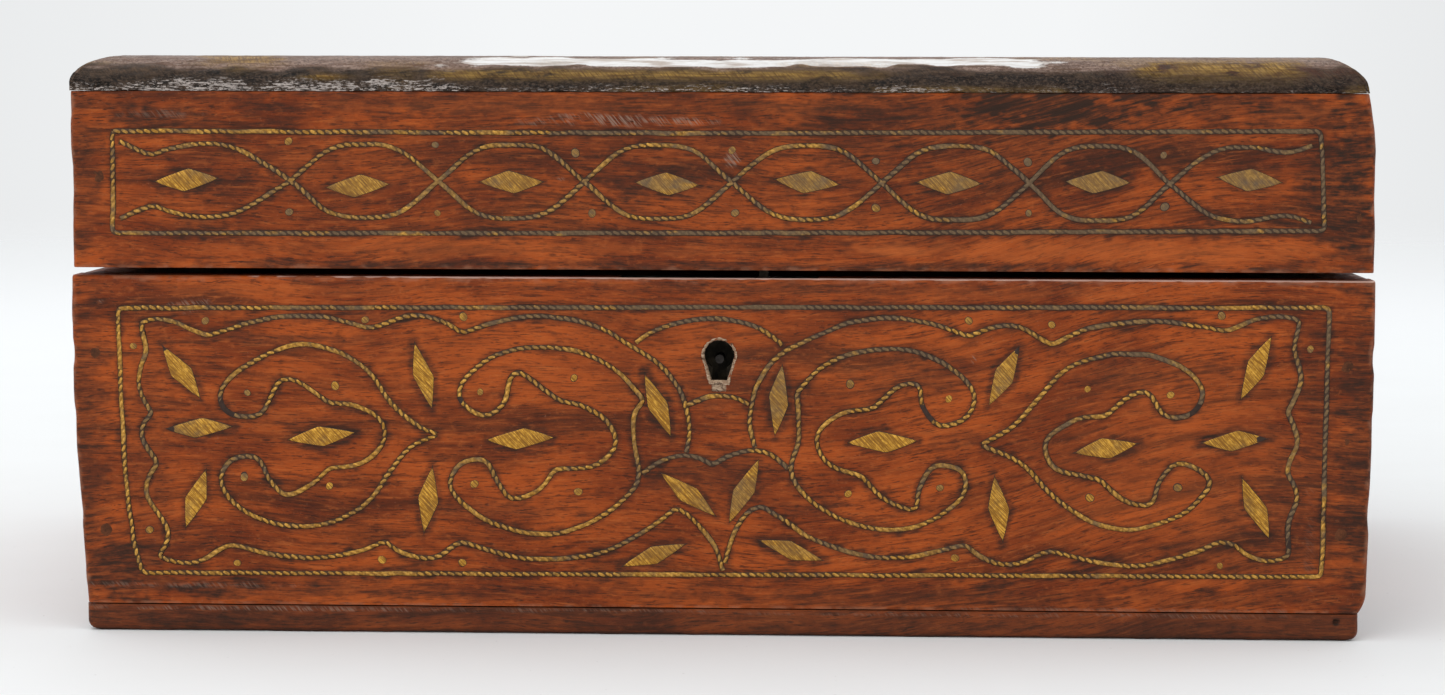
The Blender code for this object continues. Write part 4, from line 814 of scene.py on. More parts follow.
def wire(line, seed):
    """A twisted wire hammered flush, along a line, in its groove."""
    length = running_length(line)
    tangent = np.gradient(line, axis=0)
    tangent /= np.linalg.norm(tangent, axis=1)[:, None] + 1e-9
    breadth = (WIRE_HALF * (1 + 0.10 * lumps(length, length * 0, (5, 1), seed)))[:, None]
    u = line[:, :1] - tangent[:, 1:] * breadth * WIRE_ACROSS
    v = line[:, 1:] + tangent[:, :1] * breadth * WIRE_ACROSS
    s, t = np.meshgrid(length, WIRE_ACROSS, indexing="ij")
    lens = np.abs((s / TWIST + t * SLANT) % 1 - 0.5) * 2 + t ** 2 * LENS
    depth = METAL_BACK + 0.10 - 0.10 * np.clip(1 - lens, 0, 1) + 0.03 * lumps(u, v, (3, 3), 71)
    margin = np.abs(t) > 1.1
    depth = np.where(margin, GROOVE_BACK, depth)
    depth = np.where(np.abs(t) > 1.3, UNDER_WOOD, depth)
    tarnish, metal = finish_of(u, v)
    metal = np.where(margin, 0.0, metal)
    depth = np.where(metal > 0.5, depth, np.maximum(depth, GROOVE_BACK))
    return on_front(u, v, depth), grid_faces(len(WIRE_ACROSS), len(length)), flat(s, t + 2, tarnish, metal)


def leaf(tip, other, width, seed):
    """A lozenge-shaped leaf plate between two tips, in its mastic."""
    tip, other = np.array(tip), np.array(other)
    length = np.linalg.norm(other - tip)
    along = (other - tip) / length
    choose = np.random.default_rng(seed)
    shift, overcut = choose.uniform(-0.07, 0.07), choose.uniform(0.4, 1.1)
    past = np.array([0.4, overcut]) / length
    q = np.concatenate([-past[::-1], np.linspace(0, 1, 25), 1 + past])
    q, t = np.meshgrid(q, LEAF_ACROSS, indexing="ij")
    middle = 0.5 + shift * np.sign(t)
    rise = np.where(q < middle, q / middle, (1 - q) / (1 - middle))
    inner = np.clip(np.abs(t) / 0.82, 0, 1)
    outer = np.clip((np.abs(t) - 0.82) / 0.18, 0, 1)
    tips = np.clip(np.minimum(q * length + overcut, (1 - q) * length + overcut) / overcut, 0, 1)
    reach = np.sign(t) * (inner * (width / 2 * np.clip(rise, 0, 1) ** 0.86) + outer * MASTIC * tips)
    u = tip[0] + along[0] * q * length - along[1] * reach
    v = tip[1] + along[1] * q * length + along[0] * reach
    on_metal = (np.abs(t) <= 0.83) & (q >= 0) & (q <= 1)
    depth = np.where(on_metal, METAL_BACK + 0.03 + 0.05 * inner ** 2, WOOD_BACK - 0.02)
    depth = np.where(np.abs(t) > 0.95, UNDER_WOOD, depth) + 0.015 * lumps(u, v, (2, 2), seed)
    tarnish, metal = finish_of(u, v)
    colours = flat(q * length, t + 2, tarnish * 0.62, np.where(on_metal, metal, 0))
    return on_front(u, v, depth), grid_faces(*q.shape[::-1]), colours


def dot(x, z, seed):
    """The end of a small brass pin, filed flush."""
    radius = np.random.default_rng(seed).uniform(0.62, 0.86)
    r, a = np.meshgrid((0.05, 0.45, 0.8, 1.0, 1.12, 1.42), np.linspace(0, 2 * math.pi, 17), indexing="ij")
    reach = radius * r * (1 + 0.08 * np.sin(2 * a + seed))
    u, v = x + reach * np.cos(a), z + reach * np.sin(a)
    depth = np.where(r > 1.05, WOOD_BACK - 0.02, METAL_BACK + 0.04 + 0.06 * r ** 2)
    depth = np.where(r > 1.3, UNDER_WOOD, depth)
    lid_dull = 0.25 if z > BASE_HIGH.z else 0.0
    tarnish = np.clip(finish_of(u, v)[0] * 0.6 + lid_dull + 0.1 * (seed % 3), 0, 1)
    return on_front(u, v, depth), grid_faces(*r.shape[::-1]), flat(r, r + 2, tarnish, r < 1.05)


def inlay_piece(name, shapes, material, body, *nodes):
    """Several shapes as one piece."""
    starts = np.cumsum([0] + [len(points) for points, _, _ in shapes])
    faces = np.vstack([faces + start for (_, faces, _), start in zip(shapes, starts)])
    made = mesh_object(name, np.vstack([shape[0] for shape in shapes]), faces, material)
    paint(made, "inlay", *np.vstack([shape[2] for shape in shapes]).T)
    settle(made, body, "brass_wire", *nodes)


# Every wire as (node, course, whether it is closed, body).
WIRES = [
    ("base_border_wire", BASE_BORDER, True, "base"),
    ("frame_wire_left", FRAME_LEFT, False, "base"),
    ("frame_wire_right", FRAME_RIGHT, False, "base"),
    ("palmette_wire_outer_left", PALMETTE_OUTER_LEFT, True, "base"),
    ("palmette_wire_inner_left", PALMETTE_INNER_LEFT, True, "base"),
    ("palmette_wire_inner_right", PALMETTE_INNER_RIGHT, True, "base"),
    ("palmette_wire_outer_right", PALMETTE_OUTER_RIGHT, True, "base"),
    ("heart_wire", HEART, False, "base"),
    ("keyhole_arch_wire_above", ARCH_ABOVE, False, "base"),
    ("keyhole_arch_wire_below", ARCH_BELOW, False, "base"),
    ("lid_border_wire", LID_BORDER, True, "lid"),
]


def make_inlay():
    """Every wire, leaf plate and dot; gives back points spread over them on each body."""
    spread = {"base": [], "lid": []}
    for seed, (node, course, closed, body) in enumerate(WIRES):
        line = wire_line(course, closed)
        inlay_piece("twisted_" + node, [wire(line, seed)], STRAND_BRASS, body, node)
        spread[body].append(line)
    for sign, side in ((1, "upper"), (-1, "lower")):
        line = wire_line(chain_strand(sign), False)
        shape = wire(line, 20 + sign)
        inlay_piece(f"twisted_chain_strand_{side}", [shape], STRAND_BRASS, "lid", "lid_chain_wire")
        spread["lid"].append(line)
    half = LID_LEAF_LENGTH / 2
    tilt = np.random.default_rng(5).uniform(-0.6, 0.6, len(LID_LEAF_CENTRES))
    lid_leaves = [((x - half, z - slope), (x + half, z + slope), LID_LEAF_WIDTH)
                  for (x, z), slope in zip(LID_LEAF_CENTRES, tilt)]
    for body, leaves, dots in (("base", BASE_LEAVES, BASE_DOTS), ("lid", lid_leaves, LID_DOTS)):
        plates = [leaf(*shape, 100 + number) for number, shape in enumerate(leaves)]
        pins = [dot(x, z, number) for number, (x, z) in enumerate(dots)]
        inlay_piece(f"{body}_leaf_plates", plates, PLATE_BRASS, body)
        inlay_piece(f"{body}_dots", pins, PLATE_BRASS, body)
        spread[body] += [points[:, [0, 2]] for points, _, _ in plates]
    return {body: np.vstack(places) for body, places in spread.items()}


# Panels. The marks on a face fade out this far round its edges, and worn wood never comes nearer than this to
# the true face.
EDGE_MARKS = 2.5
LEAST_BACK = 0.13


def keyhole_outline(grow=0.0, steps=14):
    """The keyhole: round above, with sides that close to a narrow foot."""
    radius, waist, foot = KEYHOLE_RADIUS + grow, KEYHOLE_WAIST + grow, KEYHOLE_FOOT - grow
    arc = [(KEYHOLE_X + radius * math.cos(a), KEYHOLE_Z + radius * math.sin(a))
           for a in np.linspace(-0.20, math.pi + 0.20, steps)]
    return arc + [(KEYHOLE_X - waist, foot), (KEYHOLE_X + waist, foot)]


def distance_to_keyhole(u, v):
    """Roughly how far a place is from the keyhole's rim, below zero inside."""
    round_part = np.hypot(u - KEYHOLE_X, v - KEYHOLE_Z) - KEYHOLE_RADIUS
    fall = np.clip((KEYHOLE_Z - v) / (KEYHOLE_Z - KEYHOLE_FOOT), 0, 1)
    half = KEYHOLE_RADIUS + (KEYHOLE_WAIST - KEYHOLE_RADIUS) * fall
    lower = np.maximum(np.abs(u - KEYHOLE_X) - half, np.maximum(v - KEYHOLE_Z, KEYHOLE_FOOT - v))
    return np.minimum(round_part, lower)


def distance_to(points, u, v, reach):
    """Each grid place's distance to the nearest of the points, up to a reach."""
    found = np.full(u.shape, float(reach))
    rows, columns = u.shape
    step = v[1, 0] - v[0, 0]
    j = np.clip(np.rint((points[:, 1] - v[0, 0]) / step).astype(int), 0, rows - 1)
    i = np.rint((points[:, 0] - u[j, 0]) / (u[j, 1] - u[j, 0])).astype(int)
    around = range(-int(reach / step) - 1, int(reach / step) + 2)
    for dj in around:
        for di in around:
            row, column = np.clip(j + dj, 0, rows - 1), np.clip(i + di, 0, columns - 1)
            away = np.hypot(u[row, column] - points[:, 0], v[row, column] - points[:, 1])
            np.minimum.at(found, (row, column), away)
    return found


def hand_relief(u, v, seed):
    """The shallow hollows and raised grain of a hand-planed board."""
    relief = 0.05 * lumps(u, v, (34, 11), seed) + 0.022 * lumps(u, v, (8, 1.3), seed + 1)
    pits = smoothstep(lumps(u, v, (2.4, 1.1), seed + 2), 0.72, 0.95)
    return relief + 0.012 * lumps(u, v, (2, 0.8), seed + 3) + 0.12 * pits


def rounded_over(away, radius):
    """How far a worn edge falls back at a distance from it."""
    inside = np.clip(radius - away, 0, radius)
    return radius - np.sqrt(radius ** 2 - inside ** 2)


def slab(name, u, v, depth, place, back, material, layers, inside=INSIDE_WOOD):
    """A closed board: a grid of worn face that carries the marks, plain walls round it and a flat back."""
    rows, columns = u.shape
    rim = grid_rim(columns, rows)
    halfway = np.minimum(depth + EDGE_MARKS, (depth + back) / 2)
    points = np.vstack([place(u, v, depth)] + [place(u, v, reach)[rim] for reach in (halfway, back)])
    middle = rows * columns + np.arange(len(rim))
    last = middle + len(rim)
    faces = np.vstack([grid_faces(columns, rows), walls(rim, middle), walls(middle, last)])
    made = mesh_object(name, points, [*faces, last], material)
    made.data.materials.append(inside)
    made.data.polygons[-1].material_index = 1
    made.data.set_sharp_from_angle(angle=math.radians(50))
    paint(made, "marks", *[np.concatenate([part.ravel(), np.zeros(2 * len(rim))]) for part in layers])
    return made


def face_grid(low_u, high_u, low_v, high_v, step, half=None):
    """Places over a face. Where half is given, each row runs as wide as it says."""
    columns, rows = int((high_u - low_u) / step) + 1, int((high_v - low_v) / step) + 1
    u, v = np.meshgrid(np.linspace(low_u, high_u, columns), np.linspace(low_v, high_v, rows))
    if half is not None:
        u = u * (half(v, np.where(u > 0, 1, -1)) / high_u)
    return u, v


def edge_distances(u, v):
    """Distances to the left or right end, to the foot and to the top."""
    return np.minimum(u - u[:, :1], u[:, -1:] - u), v - v[0, 0], v[-1, 0] - v


def make_front(body, inlay, cutters):
    """A front panel: worn face, dark halo round the inlay, the marks of use, and painted highlights on the
    base's top and foot.
    """
    low, high, half = CASE[body]
    reach = half(high, 1)
    u, v = face_grid(-reach, reach, low, high, 0.38, chipped(half, 37))
    ends, foot, top = edge_distances(u, v)
    near = distance_to(inlay, u, v, 2.6)
    ragged = lumps(u, v, (1.7, 1.2), 31)
    nick = 0.15 * smoothstep(lumps(u, v, (6, 6), 33), 0.2, 0.9)
    depth = WOOD_BACK + hand_relief(u, v, 11) + rounded_over(ends + nick, 1.3)
    if body == "base":
        depth += rounded_over(top - nick, 0.9)
    else:
        depth += rounded_over(foot, 0.3) + rounded_over(top, 0.3)
    depth += 0.05 * smoothstep(-near, -1.0, -0.6)
    depth += 0.45 * smoothstep(-distance_to_keyhole(u, v) + 0.25 * ragged, -0.9, -0.1)
    spread = 0.5 + 0.5 * lumps(u, v, (9, 5), 35)
    halo = smoothstep(-near + 0.9 * ragged * spread, -0.9 - 1.5 * spread, -0.3)
    dark = np.maximum(painted(u, v, DARK_MARKS, 41), (0.5 + 0.45 * spread) * halo)
    pale, bright = painted(u, v, PALE_MARKS, 43), painted(u, v, BRIGHT_MARKS, 45)
    worn = smoothstep(-np.minimum(ends, top if body == "base" else foot + 0.4) + 0.5 * ragged, -1.3, -0.2)
    if body == "base":
        # Painted highlight: the base's foot is lightened along the seam with the board.
        worn = np.maximum(worn, 0.8 * smoothstep(-foot, -0.8, -0.2))
        # Painted highlight along the base's top edge, pushed past 1 so that the shader paints a pale line.
        worn = np.maximum(worn, 2.2 * smoothstep(-top, -0.5, 0) * smoothstep(u + 20 * ragged, -130, -60))
    depth = np.clip(depth, LEAST_BACK, None)
    made = slab(f"worn_{body}_front", u, v, depth, on_front, PANEL, ROSEWOOD, (dark, pale, bright, worn))
    cut(made, cutters)
    settle(made, body, "rosewood", f"{body}_front_panel")


def lock_cutters():
    """The keyhole, its sill and the lock's mortises, as the CAD panel has them."""
    gap, outside, inside = 0.3, FRONT - 1, FRONT + PANEL + 1
    low, high = box("lock_case")
    above = high.z + 1
    sill_half, slot_half = 1.6, 1.4
    sill = [(KEYHOLE_X - sill_half, KEYHOLE_SILL), (KEYHOLE_X + sill_half, KEYHOLE_SILL),
            (KEYHOLE_X + slot_half, KEYHOLE_Z), (KEYHOLE_X - slot_half, KEYHOLE_Z)]
    body_half, body_front, body_foot = 17.3, FRONT + 3.3, 54.0
    plate_front, selvedge_foot = FRONT + 8.7, 79.3
    return [
        prism_cutter(keyhole_outline(0.28), outside, FRONT + 5),
        prism_cutter(sill, outside, FRONT + 1.3),
        box_cutter((-body_half, body_front, body_foot), (body_half, inside, above)),
        box_cutter((low.x - gap, plate_front, low.z - gap), (high.x + gap, inside, above)),
        box_cutter((low.x - gap, low.y - gap, selvedge_foot), (high.x + gap, inside, above)),
    ]


def strike_cutters():
    """The strike plate's recess in the lid's edge."""
    gap = 0.3
    low, high = box("strike_plate")
    return [box_cutter((low.x - gap, low.y - gap, LID_LOW.z - 1), (high.x + gap, high.y + gap, high.z + gap))]


def rim_ring(grow, depth, count=150):
    """A ring of points round the keyhole, evenly spaced and then pushed about a little."""
    outline = keyhole_outline(grow)
    closed = np.array(outline + outline[:1])
    at = np.linspace(0, running_length(closed)[-1], count)
    ragged = 0.10 * lumps(at, 0 * at, (1.1, 1), 77) + 0.08 * lumps(at, 0 * at, (0.4, 1), 78)
    line = evenly(closed, count=count)
    out = line - (KEYHOLE_X, KEYHOLE_Z - 2)
    out /= np.linalg.norm(out, axis=1)[:, None]
    line += out * ragged[:, None] * min(1.0, grow / 0.5) * 2
    return on_front(*line.T, depth + 0.25 * np.abs(ragged))


def make_keyhole_rim():
    """The raw wood that shows where the keyhole's edge is chipped, and its sill."""
    rings = [rim_ring(grow, depth) for grow, depth in
             ((0.20, 3.0), (0.20, 0.85), (0.30, 0.55), (0.44, 0.36), (0.62, 0.22), (0.78, 0.20), (0.88, 0.45))]
    u, v = np.meshgrid(np.linspace(KEYHOLE_X - 1.75, KEYHOLE_X + 1.75, 15),
                       np.linspace(KEYHOLE_SILL - 0.2, KEYHOLE_FOOT + 0.2, 13))
    sill = on_front(u, v, 0.62 + 0.14 * lumps(u, v, (0.7, 0.5), 79))
    ring = len(rings[0])
    faces = np.vstack([grid_faces(ring, len(rings)), grid_faces(15, 13) + ring * len(rings)])
    settle(mesh_object("keyhole_raw_rim", np.vstack([*rings, sill]), faces, RAW_WOOD), "base", "rosewood")


def plain_depth(u, v, seed, ends, corner):
    """How far back a plain panel's face lies, with its upright corners rounded by that much."""
    foot, top = edge_distances(u, v)[1:]
    depth = WOOD_BACK + hand_relief(u, v, seed + 5) + rounded_over(ends, corner)
    return np.clip(depth + rounded_over(foot, 0.5) + rounded_over(top, 0.5), LEAST_BACK, None)


def grime(u, v, seed, edge_dark=0.5, reach=7.0):
    """Marks of use on a face the photo doesn't show: (dark, pale, bright, worn)."""
    ends, foot, top = edge_distances(u, v)
    cloud = 0.5 + 0.5 * lumps(u, v, (26, 9), seed)
    border = smoothstep(-np.minimum(np.minimum(ends, foot), top) + 3 * cloud, -reach, -0.5)
    spots = smoothstep(lumps(u, v, (7, 2.2), seed + 1), 0.55, 0.95)
    dark = np.clip(edge_dark * border + 0.45 * smoothstep(cloud, 0.55, 0.95) + 0.35 * spots, 0, 1)
    pale = smoothstep(lumps(u, v, (11, 3), seed + 2), 0.72, 0.95) * 0.55
    bright = 0.3 * smoothstep(lumps(u, v, (40, 7), seed + 3), 0.2, 0.9)
    worn = smoothstep(-np.minimum(ends, top) + 0.5 * lumps(u, v, (1.7, 1.2), seed + 4), -1.2, -0.2)
    return dark, pale, bright, worn


def knuckle_seat(sign):
    """The trough that a hinge's knuckles lie in, as a cutter."""
    low, high = box("hinge_left_pin")
    middle, reach = (low + high) / 2, 2.3 * MM
    middle.x = sign * (box("hinge_right_pin")[0].x + 18)
    bm = bmesh.new()
    place = Matrix.Translation(middle * MM) @ Matrix.Rotation(math.pi / 2, 4, "Y")
    bmesh.ops.create_cone(bm, cap_ends=True, segments=32, radius1=reach, radius2=reach,
                          depth=(high.x - low.x + 1) * MM, matrix=place)
    return written(bm)


def make_back(body, seed):
    """A back panel, plain but worn, with troughs for the hinges' knuckles."""
    low, high, half = CASE[body]
    reach = half(high, 1)
    u, v = face_grid(-reach, reach, low, high, 0.6, chipped(lambda z, side: half(z, -side), seed))
    nick = 0.2 * smoothstep(lumps(u, v, (6, 6), seed + 9), 0.2, 0.9)
    depth = plain_depth(u, v, seed, edge_distances(u, v)[0] + nick, 1.2)

    def on_back(u, v, depth):
        return flat(-u, BACK - depth, v)

    made = slab(f"worn_{body}_back", u, v, depth, on_back, PANEL, ROSEWOOD, grime(u, v, seed))
    cut(made, [knuckle_seat(sign) for sign in (-1, 1)])
    settle(made, body, "rosewood", f"{body}_back_panel")


def make_side(body, side, seed):
    """A side panel between the front and the back."""
    node = f"{body}_{side}_panel"
    low, high = box(node)
    sign, inner = (1, low.x) if side == "right" else (-1, -high.x)
    u, v = face_grid(low.y, high.y, low.z, high.z, 0.6)
    outer = CASE[body][2](v, sign)
    depth = plain_depth(u, v, seed, edge_distances(u, v)[0], 0.25)

    def on_side(u, v, depth):
        return flat(sign * (outer - depth), u, v)

    made = slab(f"worn_{node}", u, v, depth, on_side, outer - inner, SIDE_ROSEWOOD, grime(u, v, seed))
    settle(made, body, "rosewood", node)


def make_bottom_board():
    """The board under the case, worn round its edges; its front has marks of use, painted foot shade and top
    highlight.
    """
    low, high = box("bottom_board")
    u, v = face_grid(low.x, high.x, 0.0, high.z, 0.45, lambda z, side: high.x - rounded_over(z, 2.2))
    ends, foot, _ = edge_distances(u, v)
    nick = smoothstep(lumps(u, v, (5, 3), 83), 0.1, 0.9)
    depth = 0.18 + hand_relief(u, v, 13) + rounded_over(ends + 0.6 * nick, 1.6)
    depth = np.clip(depth + rounded_over(foot + 0.2 * nick, 1.5), 0.1, None)
    hole = np.hypot(u - NAIL_HOLE[0], v - NAIL_HOLE[1])
    depth += 0.8 * smoothstep(-hole, -0.8, -0.4)
    dark = np.maximum(painted(u, v, BOARD_DARK, 47), smoothstep(-hole, -1.1, -0.6))
    # Painted shade: darker along the board's foot, where it meets the floor.
    dark = np.maximum(dark, 0.75 * smoothstep(-v, -1.4, -0.3))
    layers = (dark, painted(u, v, BOARD_TOP_HIGHLIGHT, 49), 0 * dark, 0 * dark)
    made = slab("worn_bottom_board", u, v, depth, on_front, BACK - FRONT - 0.3, BOARD, layers, BOARD)
    settle(made, "base", "rosewood_boards", "bottom_board")


def make_top_board():
    """The lid's board: scuffed and a little hollow on top, and rounded down under the brass at its edges."""
    low, high = box("top_board")
    u, v = face_grid(low.x + 0.1, high.x - 0.1, low.y + 0.1, high.y - 0.1, 0.8)
    inward = np.minimum.reduce(edge_distances(u, v))
    under = np.clip(1 - inward / (EDGE_REACH - EDGE_SHEET), 0, 1)
    bend = (EDGE_RISE - EDGE_SHEET) * (1 - np.sqrt(1 - under ** 2))
    bare = smoothstep(inward, EDGE_REACH + EDGE_FLANGE - 1, EDGE_REACH + EDGE_FLANGE + 1)
    relief = hand_relief(u, v, 420) + 0.10 * lumps(u, v, (60, 40), 428) + 0.10
    depth = EDGE_SHEET + 0.2 + bend + bare * np.clip(relief, 0, None)
    dark, pale, bright, _ = grime(u, v, 430, 0.75, 26.0)

    def on_top(u, v, depth):
        return flat(u, v, LID_TOP - depth)

    layers = (dark, pale, bright, 0 * dark)
    made = slab("worn_top_board", u, v, depth, on_top, LID_TOP - low.z, TOP_ROSEWOOD, layers)
    settle(made, "lid", "rosewood_boards", "top_board")


# Brass edging. Each strip is (where its side's face is, which way is outwards, half its length, seed).
STRIPS = {"front": (FRONT, -1, LID_HALF, 0), "back": (BACK, 1, LID_HALF, 10),
          "left": (-LID_HALF, -1, (BACK - FRONT) / 2, 20), "right": (LID_HALF, 1, (BACK - FRONT) / 2, 30)}


def edging_section(count=34):
    """The sheet's outer face as (distance in from the lid's side, height), from its lip to its flange's end."""
    upright = [(0, EDGE_LIP + h) for h in np.linspace(0, 8 - EDGE_RISE, 6, endpoint=False)]
    turns = np.linspace(0, math.pi / 2, count)
    bend = flat(EDGE_REACH * (1 - np.cos(turns)), LID_TOP - EDGE_RISE + EDGE_RISE * np.sin(turns))
    flange = [(EDGE_REACH + f, LID_TOP) for f in np.linspace(0.5, EDGE_FLANGE, 5)]
    return np.vstack([upright, bend, flange])


def make_edging(side):
    """One strip of the edging: crusted sheet, mitred at both ends."""
    start, outward, half, seed = STRIPS[side]
    section = edging_section()
    inward, level = section[:, :1], section[:, 1:]
    slope = np.gradient(section, axis=0)
    slope /= np.linalg.norm(slope, axis=1)[:, None]
    out_in, out_up = -slope[:, 1:], slope[:, :1]
    count = int(2 * half / 0.42)
    u = np.linspace(-1, 1, count) * (half - inward)
    arc = np.repeat(running_length(section)[:, None], count, axis=1)
    coarse = lumps(u, arc, (4.5, 1.5), 60 + seed)
    drift = lumps(u, arc, (22, 5), 62 + seed)
    left = 0 * u
    if side == "front":
        left = smoothstep(-u + 6 * coarse, 48, 84) * (0.75 + 0.5 * lumps(u, 0 * u, (8, 1), 67))
    crust = smoothstep(-arc + 1.1 * coarse + 1.6 * drift, -5.4, -3.2)
    # Painted glints go where the lip mask is high, along the sheet's lower lip.
    lip = smoothstep(-arc + 0.8 * coarse + 0.9 * drift, -1.9 - 1.6 * left, -0.5 - 0.9 * left) * (1 + 1.2 * left)
    gold = 0.5 * smoothstep(lumps(u, arc, (18, 4), 64 + seed) + 0.02 * arc, 0.35, 0.8)
    # Painted reflection: the upper bend is painted paler towards the top.
    painted_top_reflection = 0.5 * smoothstep(arc + 1.2 * coarse + drift, 5.0, 8.0)
    dents = 0 * u
    if side == "front":
        middle = smoothstep(-np.abs(u + 17) + 5 * coarse, -54, -38)
        right = smoothstep(-np.abs(u - 111) + 3 * coarse, -21, -14)
        glow = smoothstep(-np.abs(u + 107) + 3 * coarse, -11, -6) * smoothstep(arc + 0.5 * coarse, 7.2, 8.4)
        flap = bell(u, -88, 4.5) * bell(arc, 3.4, 0.7)
        # The middle gold band is rubbed-through brass; right and glow also paint a golden highlight near the
        # top.
        gold = np.maximum.reduce([gold * 0.6, 0.8 * bell(arc, 4.2, 1.3) * middle, bell(arc, 7.4, 3.3) * right,
                                  0.75 * glow, flap])
        crust = crust * (1 - 0.6 * middle * smoothstep(arc, 2.2, 3.4))
        # In the middle of the front, the top is painted white as a reflection.
        shine = smoothstep(-np.abs(u - 8) + 6 * coarse, -76, -58)
        shine = shine * (1 - smoothstep(arc + 1.5 * coarse + drift, 10.5, 14.0))
        painted_top_reflection = np.maximum(painted_top_reflection, shine * smoothstep(arc + 0.9 * coarse + 0.5 * drift, 6.3, 7.6))
        painted_top_reflection *= 1 - right * smoothstep(-arc, -9.5, -8.5)
        lip *= 1 - 0.6 * smoothstep(u, 30, 70)
        dents = 0.6 * bell(u, -88, 6) * bell(arc, 2.4, 0.4) - 0.25 * flap
        dents += 0.7 * bell(u, -138.5, 3.2, 4) * bell(arc, 1.3, 0.6)
        dents += 0.4 * bell(u, 135.5, 2.2) * bell(arc, 0.9, 0.35)
    rough = 0.16 * coarse + 0.20 * lumps(u, arc, (1.5, 0.6), 61 + seed)
    relief = 0.32 + rough * (0.25 + 0.75 * crust) * (1 - smoothstep(painted_top_reflection, 0.6, 0.9)) + dents
    relief = np.clip(relief, 0.02, None)
    height = level - out_up * relief
    height[0] += 0.22 * smoothstep(lumps(u[0], 0 * u[0], (3.5, 1), 66 + seed), 0.0, 0.8)

    def place(along, into, height):
        if side in ("front", "back"):
            return flat(along, start - outward * into, height)
        return flat(start - outward * into, along + (FRONT + BACK) / 2, height)

    outer = place(u, inward - out_in * relief, height)
    under = place(u, inward - out_in * EDGE_SHEET, level - out_up * EDGE_SHEET)
    rows = len(section)
    skin, rim = grid_faces(count, rows), grid_rim(count, rows)
    faces = np.vstack([skin, skin + rows * count, walls(rim, rim + rows * count)])
    made = mesh_object(f"crusted_edging_{side}", np.vstack([outer, under]), faces, EDGING_BRASS)
    made.data.set_sharp_from_angle(angle=math.radians(60))
    paint(made, "wear_and_painted_light", *[np.concatenate([part.ravel()] * 2) for part in (gold, lip, painted_top_reflection, crust)])
    settle(made, "lid", "brass_edging", f"edge_strip_{side}")


# Nails. Two of them have no CAD node: (x, z, radius, body).
NAIL_RADIUS = 1.6
EXTRA_NAILS = {"lid_nail_front_right_small": (141.4, 94.6, 1.3, "lid"),
               "base_nail_front_right_middle": (139.8, 44.9, 1.2, "base")}
# A nail's outline from its head's middle to its point, as (share of its radius, depth).
NAIL_SHAPE = np.array([(0.02, 0.19), (0.4, 0.20), (0.75, 0.24), (0.93, 0.31), (1.0, 0.45), (0.98, 1.0),
                       (0.55, 1.3), (0.5, 16), (0.02, 17.6)])


def nail(name, x, z, face, inward, radius, seed):
    """A hammered nail let in a little below the surface."""
    turns = np.linspace(0, 2 * math.pi, 29)
    r, a = np.meshgrid(NAIL_SHAPE[:, 0] * radius, turns, indexing="ij")
    r = r * (1 + 0.05 * np.sin(2 * a + seed) + 0.04 * np.sin(5 * a + 2 * seed))
    u, v = x + r * np.cos(a), z + r * np.sin(a)
    depth = NAIL_SHAPE[:, 1:]
    depth = depth + 0.05 * lumps(u, v, (0.8, 0.8), 200 + seed) * (depth < 1)
    return mesh_object(name, flat(u, face + inward * depth, v), grid_faces(*u.shape[::-1]), NAIL_IRON)


def make_nails():
    nodes = sorted(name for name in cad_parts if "_nail_" in name)
    for seed, node in enumerate(nodes):
        middle = sum(box(node), Vector()) / 2
        face, inward = (FRONT, 1) if "_front_" in node else (BACK, -1)
        made = nail("hammered_" + node, middle.x, middle.z, face, inward, NAIL_RADIUS, seed)
        settle(made, node.split("_")[0], "iron", node)
    for seed, (name, (x, z, radius, body)) in enumerate(EXTRA_NAILS.items()):
        settle(nail(name, x, z, FRONT, 1, radius, 30 + seed), body, "iron")


# Materials of the CAD nodes that stay, by how their names start. The first that fits is used.
CAD_MATERIALS = {"lock_key_pin": KEY_PIN_IRON, "hinge_left_pin": IRON, "hinge_right_pin": IRON,
                 "lock": SHADED_LOCK_BRASS, "strike": SHADED_LOCK_BRASS, "hinge": FITTING_BRASS, "": ROSEWOOD}


def finish_cad_nodes():
    for name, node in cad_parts.items():
        material = next(look for start, look in CAD_MATERIALS.items() if name.startswith(start))
        node.data.materials.clear()
        node.data.materials.append(material)


# Stage.

def make_floor(radius=9000, rings=24, spokes=96):
    s = Shader("pale_floor")
    away = s.math("POWER", s.add(s.times(s.x, s.x), s.times(s.y, s.y)), 0.5)
    patch = s.noise((60, 60, 60), 3)
    speck = s.noise((1.6, 1.6, 1.6), 2, offset=4)
    near = s.mix(patch, (0.86, 0.87, 0.87), (0.90, 0.915, 0.92))
    colour = s.mix(s.span(away, 0.25, 1.0), near, (0.965, 0.98, 0.99))
    colour = s.layers(colour, (speck, 0.74, 0.78, 0.35, (0.35, 0.33, 0.31)))
    material = s.finish(colour, 0.75, Specular_IOR_Level=0.1, Alpha=s.span(away, 0.5, 2.2, 1.0, 0.0))
    turns = np.linspace(0, 2 * math.pi, spokes)
    r, a = np.meshgrid(np.linspace(0, 1, rings) ** 2 * radius, turns, indexing="ij")
    points = flat(r * np.cos(a), r * np.sin(a), -0.05)
    mesh_object("floor", points, grid_faces(spokes, rings), material)


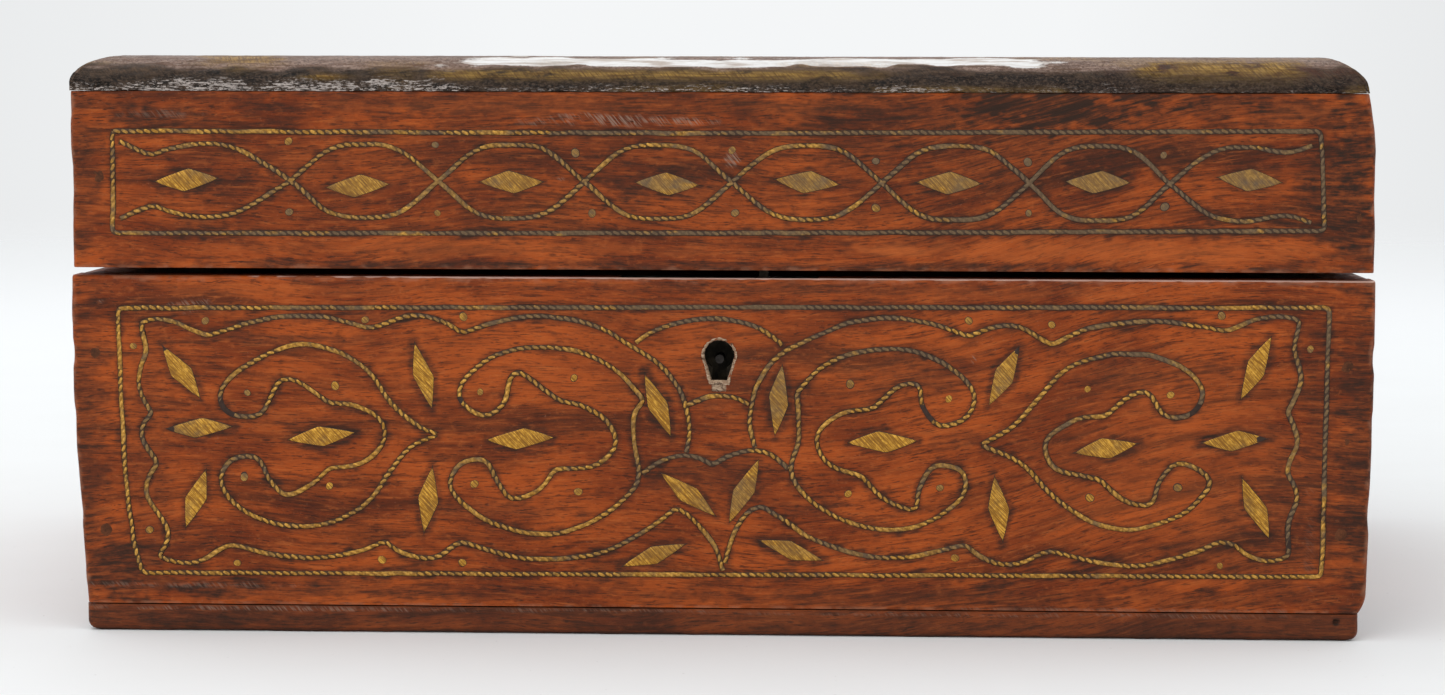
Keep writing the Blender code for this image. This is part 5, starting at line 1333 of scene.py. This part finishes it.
def make_world():
    """A white tent: even as light, and falling off to both sides where the camera sees it."""
    world = bpy.data.worlds.new("white_tent")
    bpy.context.scene.world = world
    world.use_nodes = True
    s = Nodes(world.node_tree)
    camera = s.node("LightPath").outputs["Is Camera Ray"]
    strength = s.node("Mix")
    for socket, value in ((0, camera), (2, 0.92), (3, 0.945)):
        s.put(strength.inputs[socket], value)
    x = s.node("SeparateXYZ", Vector=s.node("TexCoord").outputs["Generated"]).outputs["X"]
    tint = s.node("ValToRGB", Fac=s.node("MapRange", Value=x, From_Min=-0.35, From_Max=0.35).outputs[0])
    stops = tint.color_ramp.elements
    stops.remove(stops[1])
    for place, shade in ((0, 0.85), (0.35, 0.985), (0.6, 0.985), (1, 0.74)):
        stop = stops[0] if place == 0 else stops.new(place)
        stop.color = (0.975 * shade, 0.99 * shade, shade, 1)
    background = s.tree.nodes["Background"]
    s.put(background.inputs["Strength"], strength.outputs[0])
    s.put(background.inputs["Color"], s.mix(camera, (0.975, 0.99, 1), tint.outputs["Color"]))


def area_light(name, place, target, size, power):
    lamp = bpy.data.lights.new(name, "AREA")
    lamp.shape = "RECTANGLE"
    lamp.size, lamp.size_y = size
    lamp.energy = power
    made = linked(name, lamp)
    made.location = place
    made.rotation_euler = (Vector(target) - Vector(place)).to_track_quat("-Z", "Y").to_euler()


# The camera, placed as it stood before the box: in metres, with its turns in degrees.
CAMERA_PLACE = (0.028, FRONT * MM - 0.6886, 0.1258)
CAMERA_TURNS = {"Z": 2.247, "X": -5.03, "Y": -0.125}
CAMERA_LENS = 77.2


def make_camera():
    camera = bpy.data.cameras.new("camera")
    camera.lens = CAMERA_LENS
    made = linked("camera", camera)
    turn = Matrix.Identity(3)
    for axis, degrees in CAMERA_TURNS.items():
        turn = turn @ Matrix.Rotation(math.radians(degrees), 3, axis)
    right, ahead, up = turn.col
    made.matrix_world = Matrix.Translation(CAMERA_PLACE) @ Matrix((right, up, -ahead)).transposed().to_4x4()
    bpy.context.scene.camera = made


finish_cad_nodes()
inlay_places = make_inlay()
make_front("base", inlay_places["base"], lock_cutters())
make_front("lid", inlay_places["lid"], strike_cutters())
make_keyhole_rim()
make_nails()
make_back("base", 300)
make_back("lid", 320)
make_side("base", "left", 340)
make_side("lid", "left", 380)
make_side("base", "right", 360)
make_side("lid", "right", 400)
make_bottom_board()
make_top_board()
for strip in STRIPS:
    make_edging(strip)
make_floor()
make_world()
area_light("overhead_softbox", (-0.25, -0.15, 1.3), (0, 0, 0.05), (1.5, 1.2), 4)
area_light("front_softbox", (-0.9, -1.5, 0.9), (0, -0.1, 0.06), (1.2, 1.0), 5)
make_camera()
bpy.context.scene.view_settings.view_transform = "Standard"
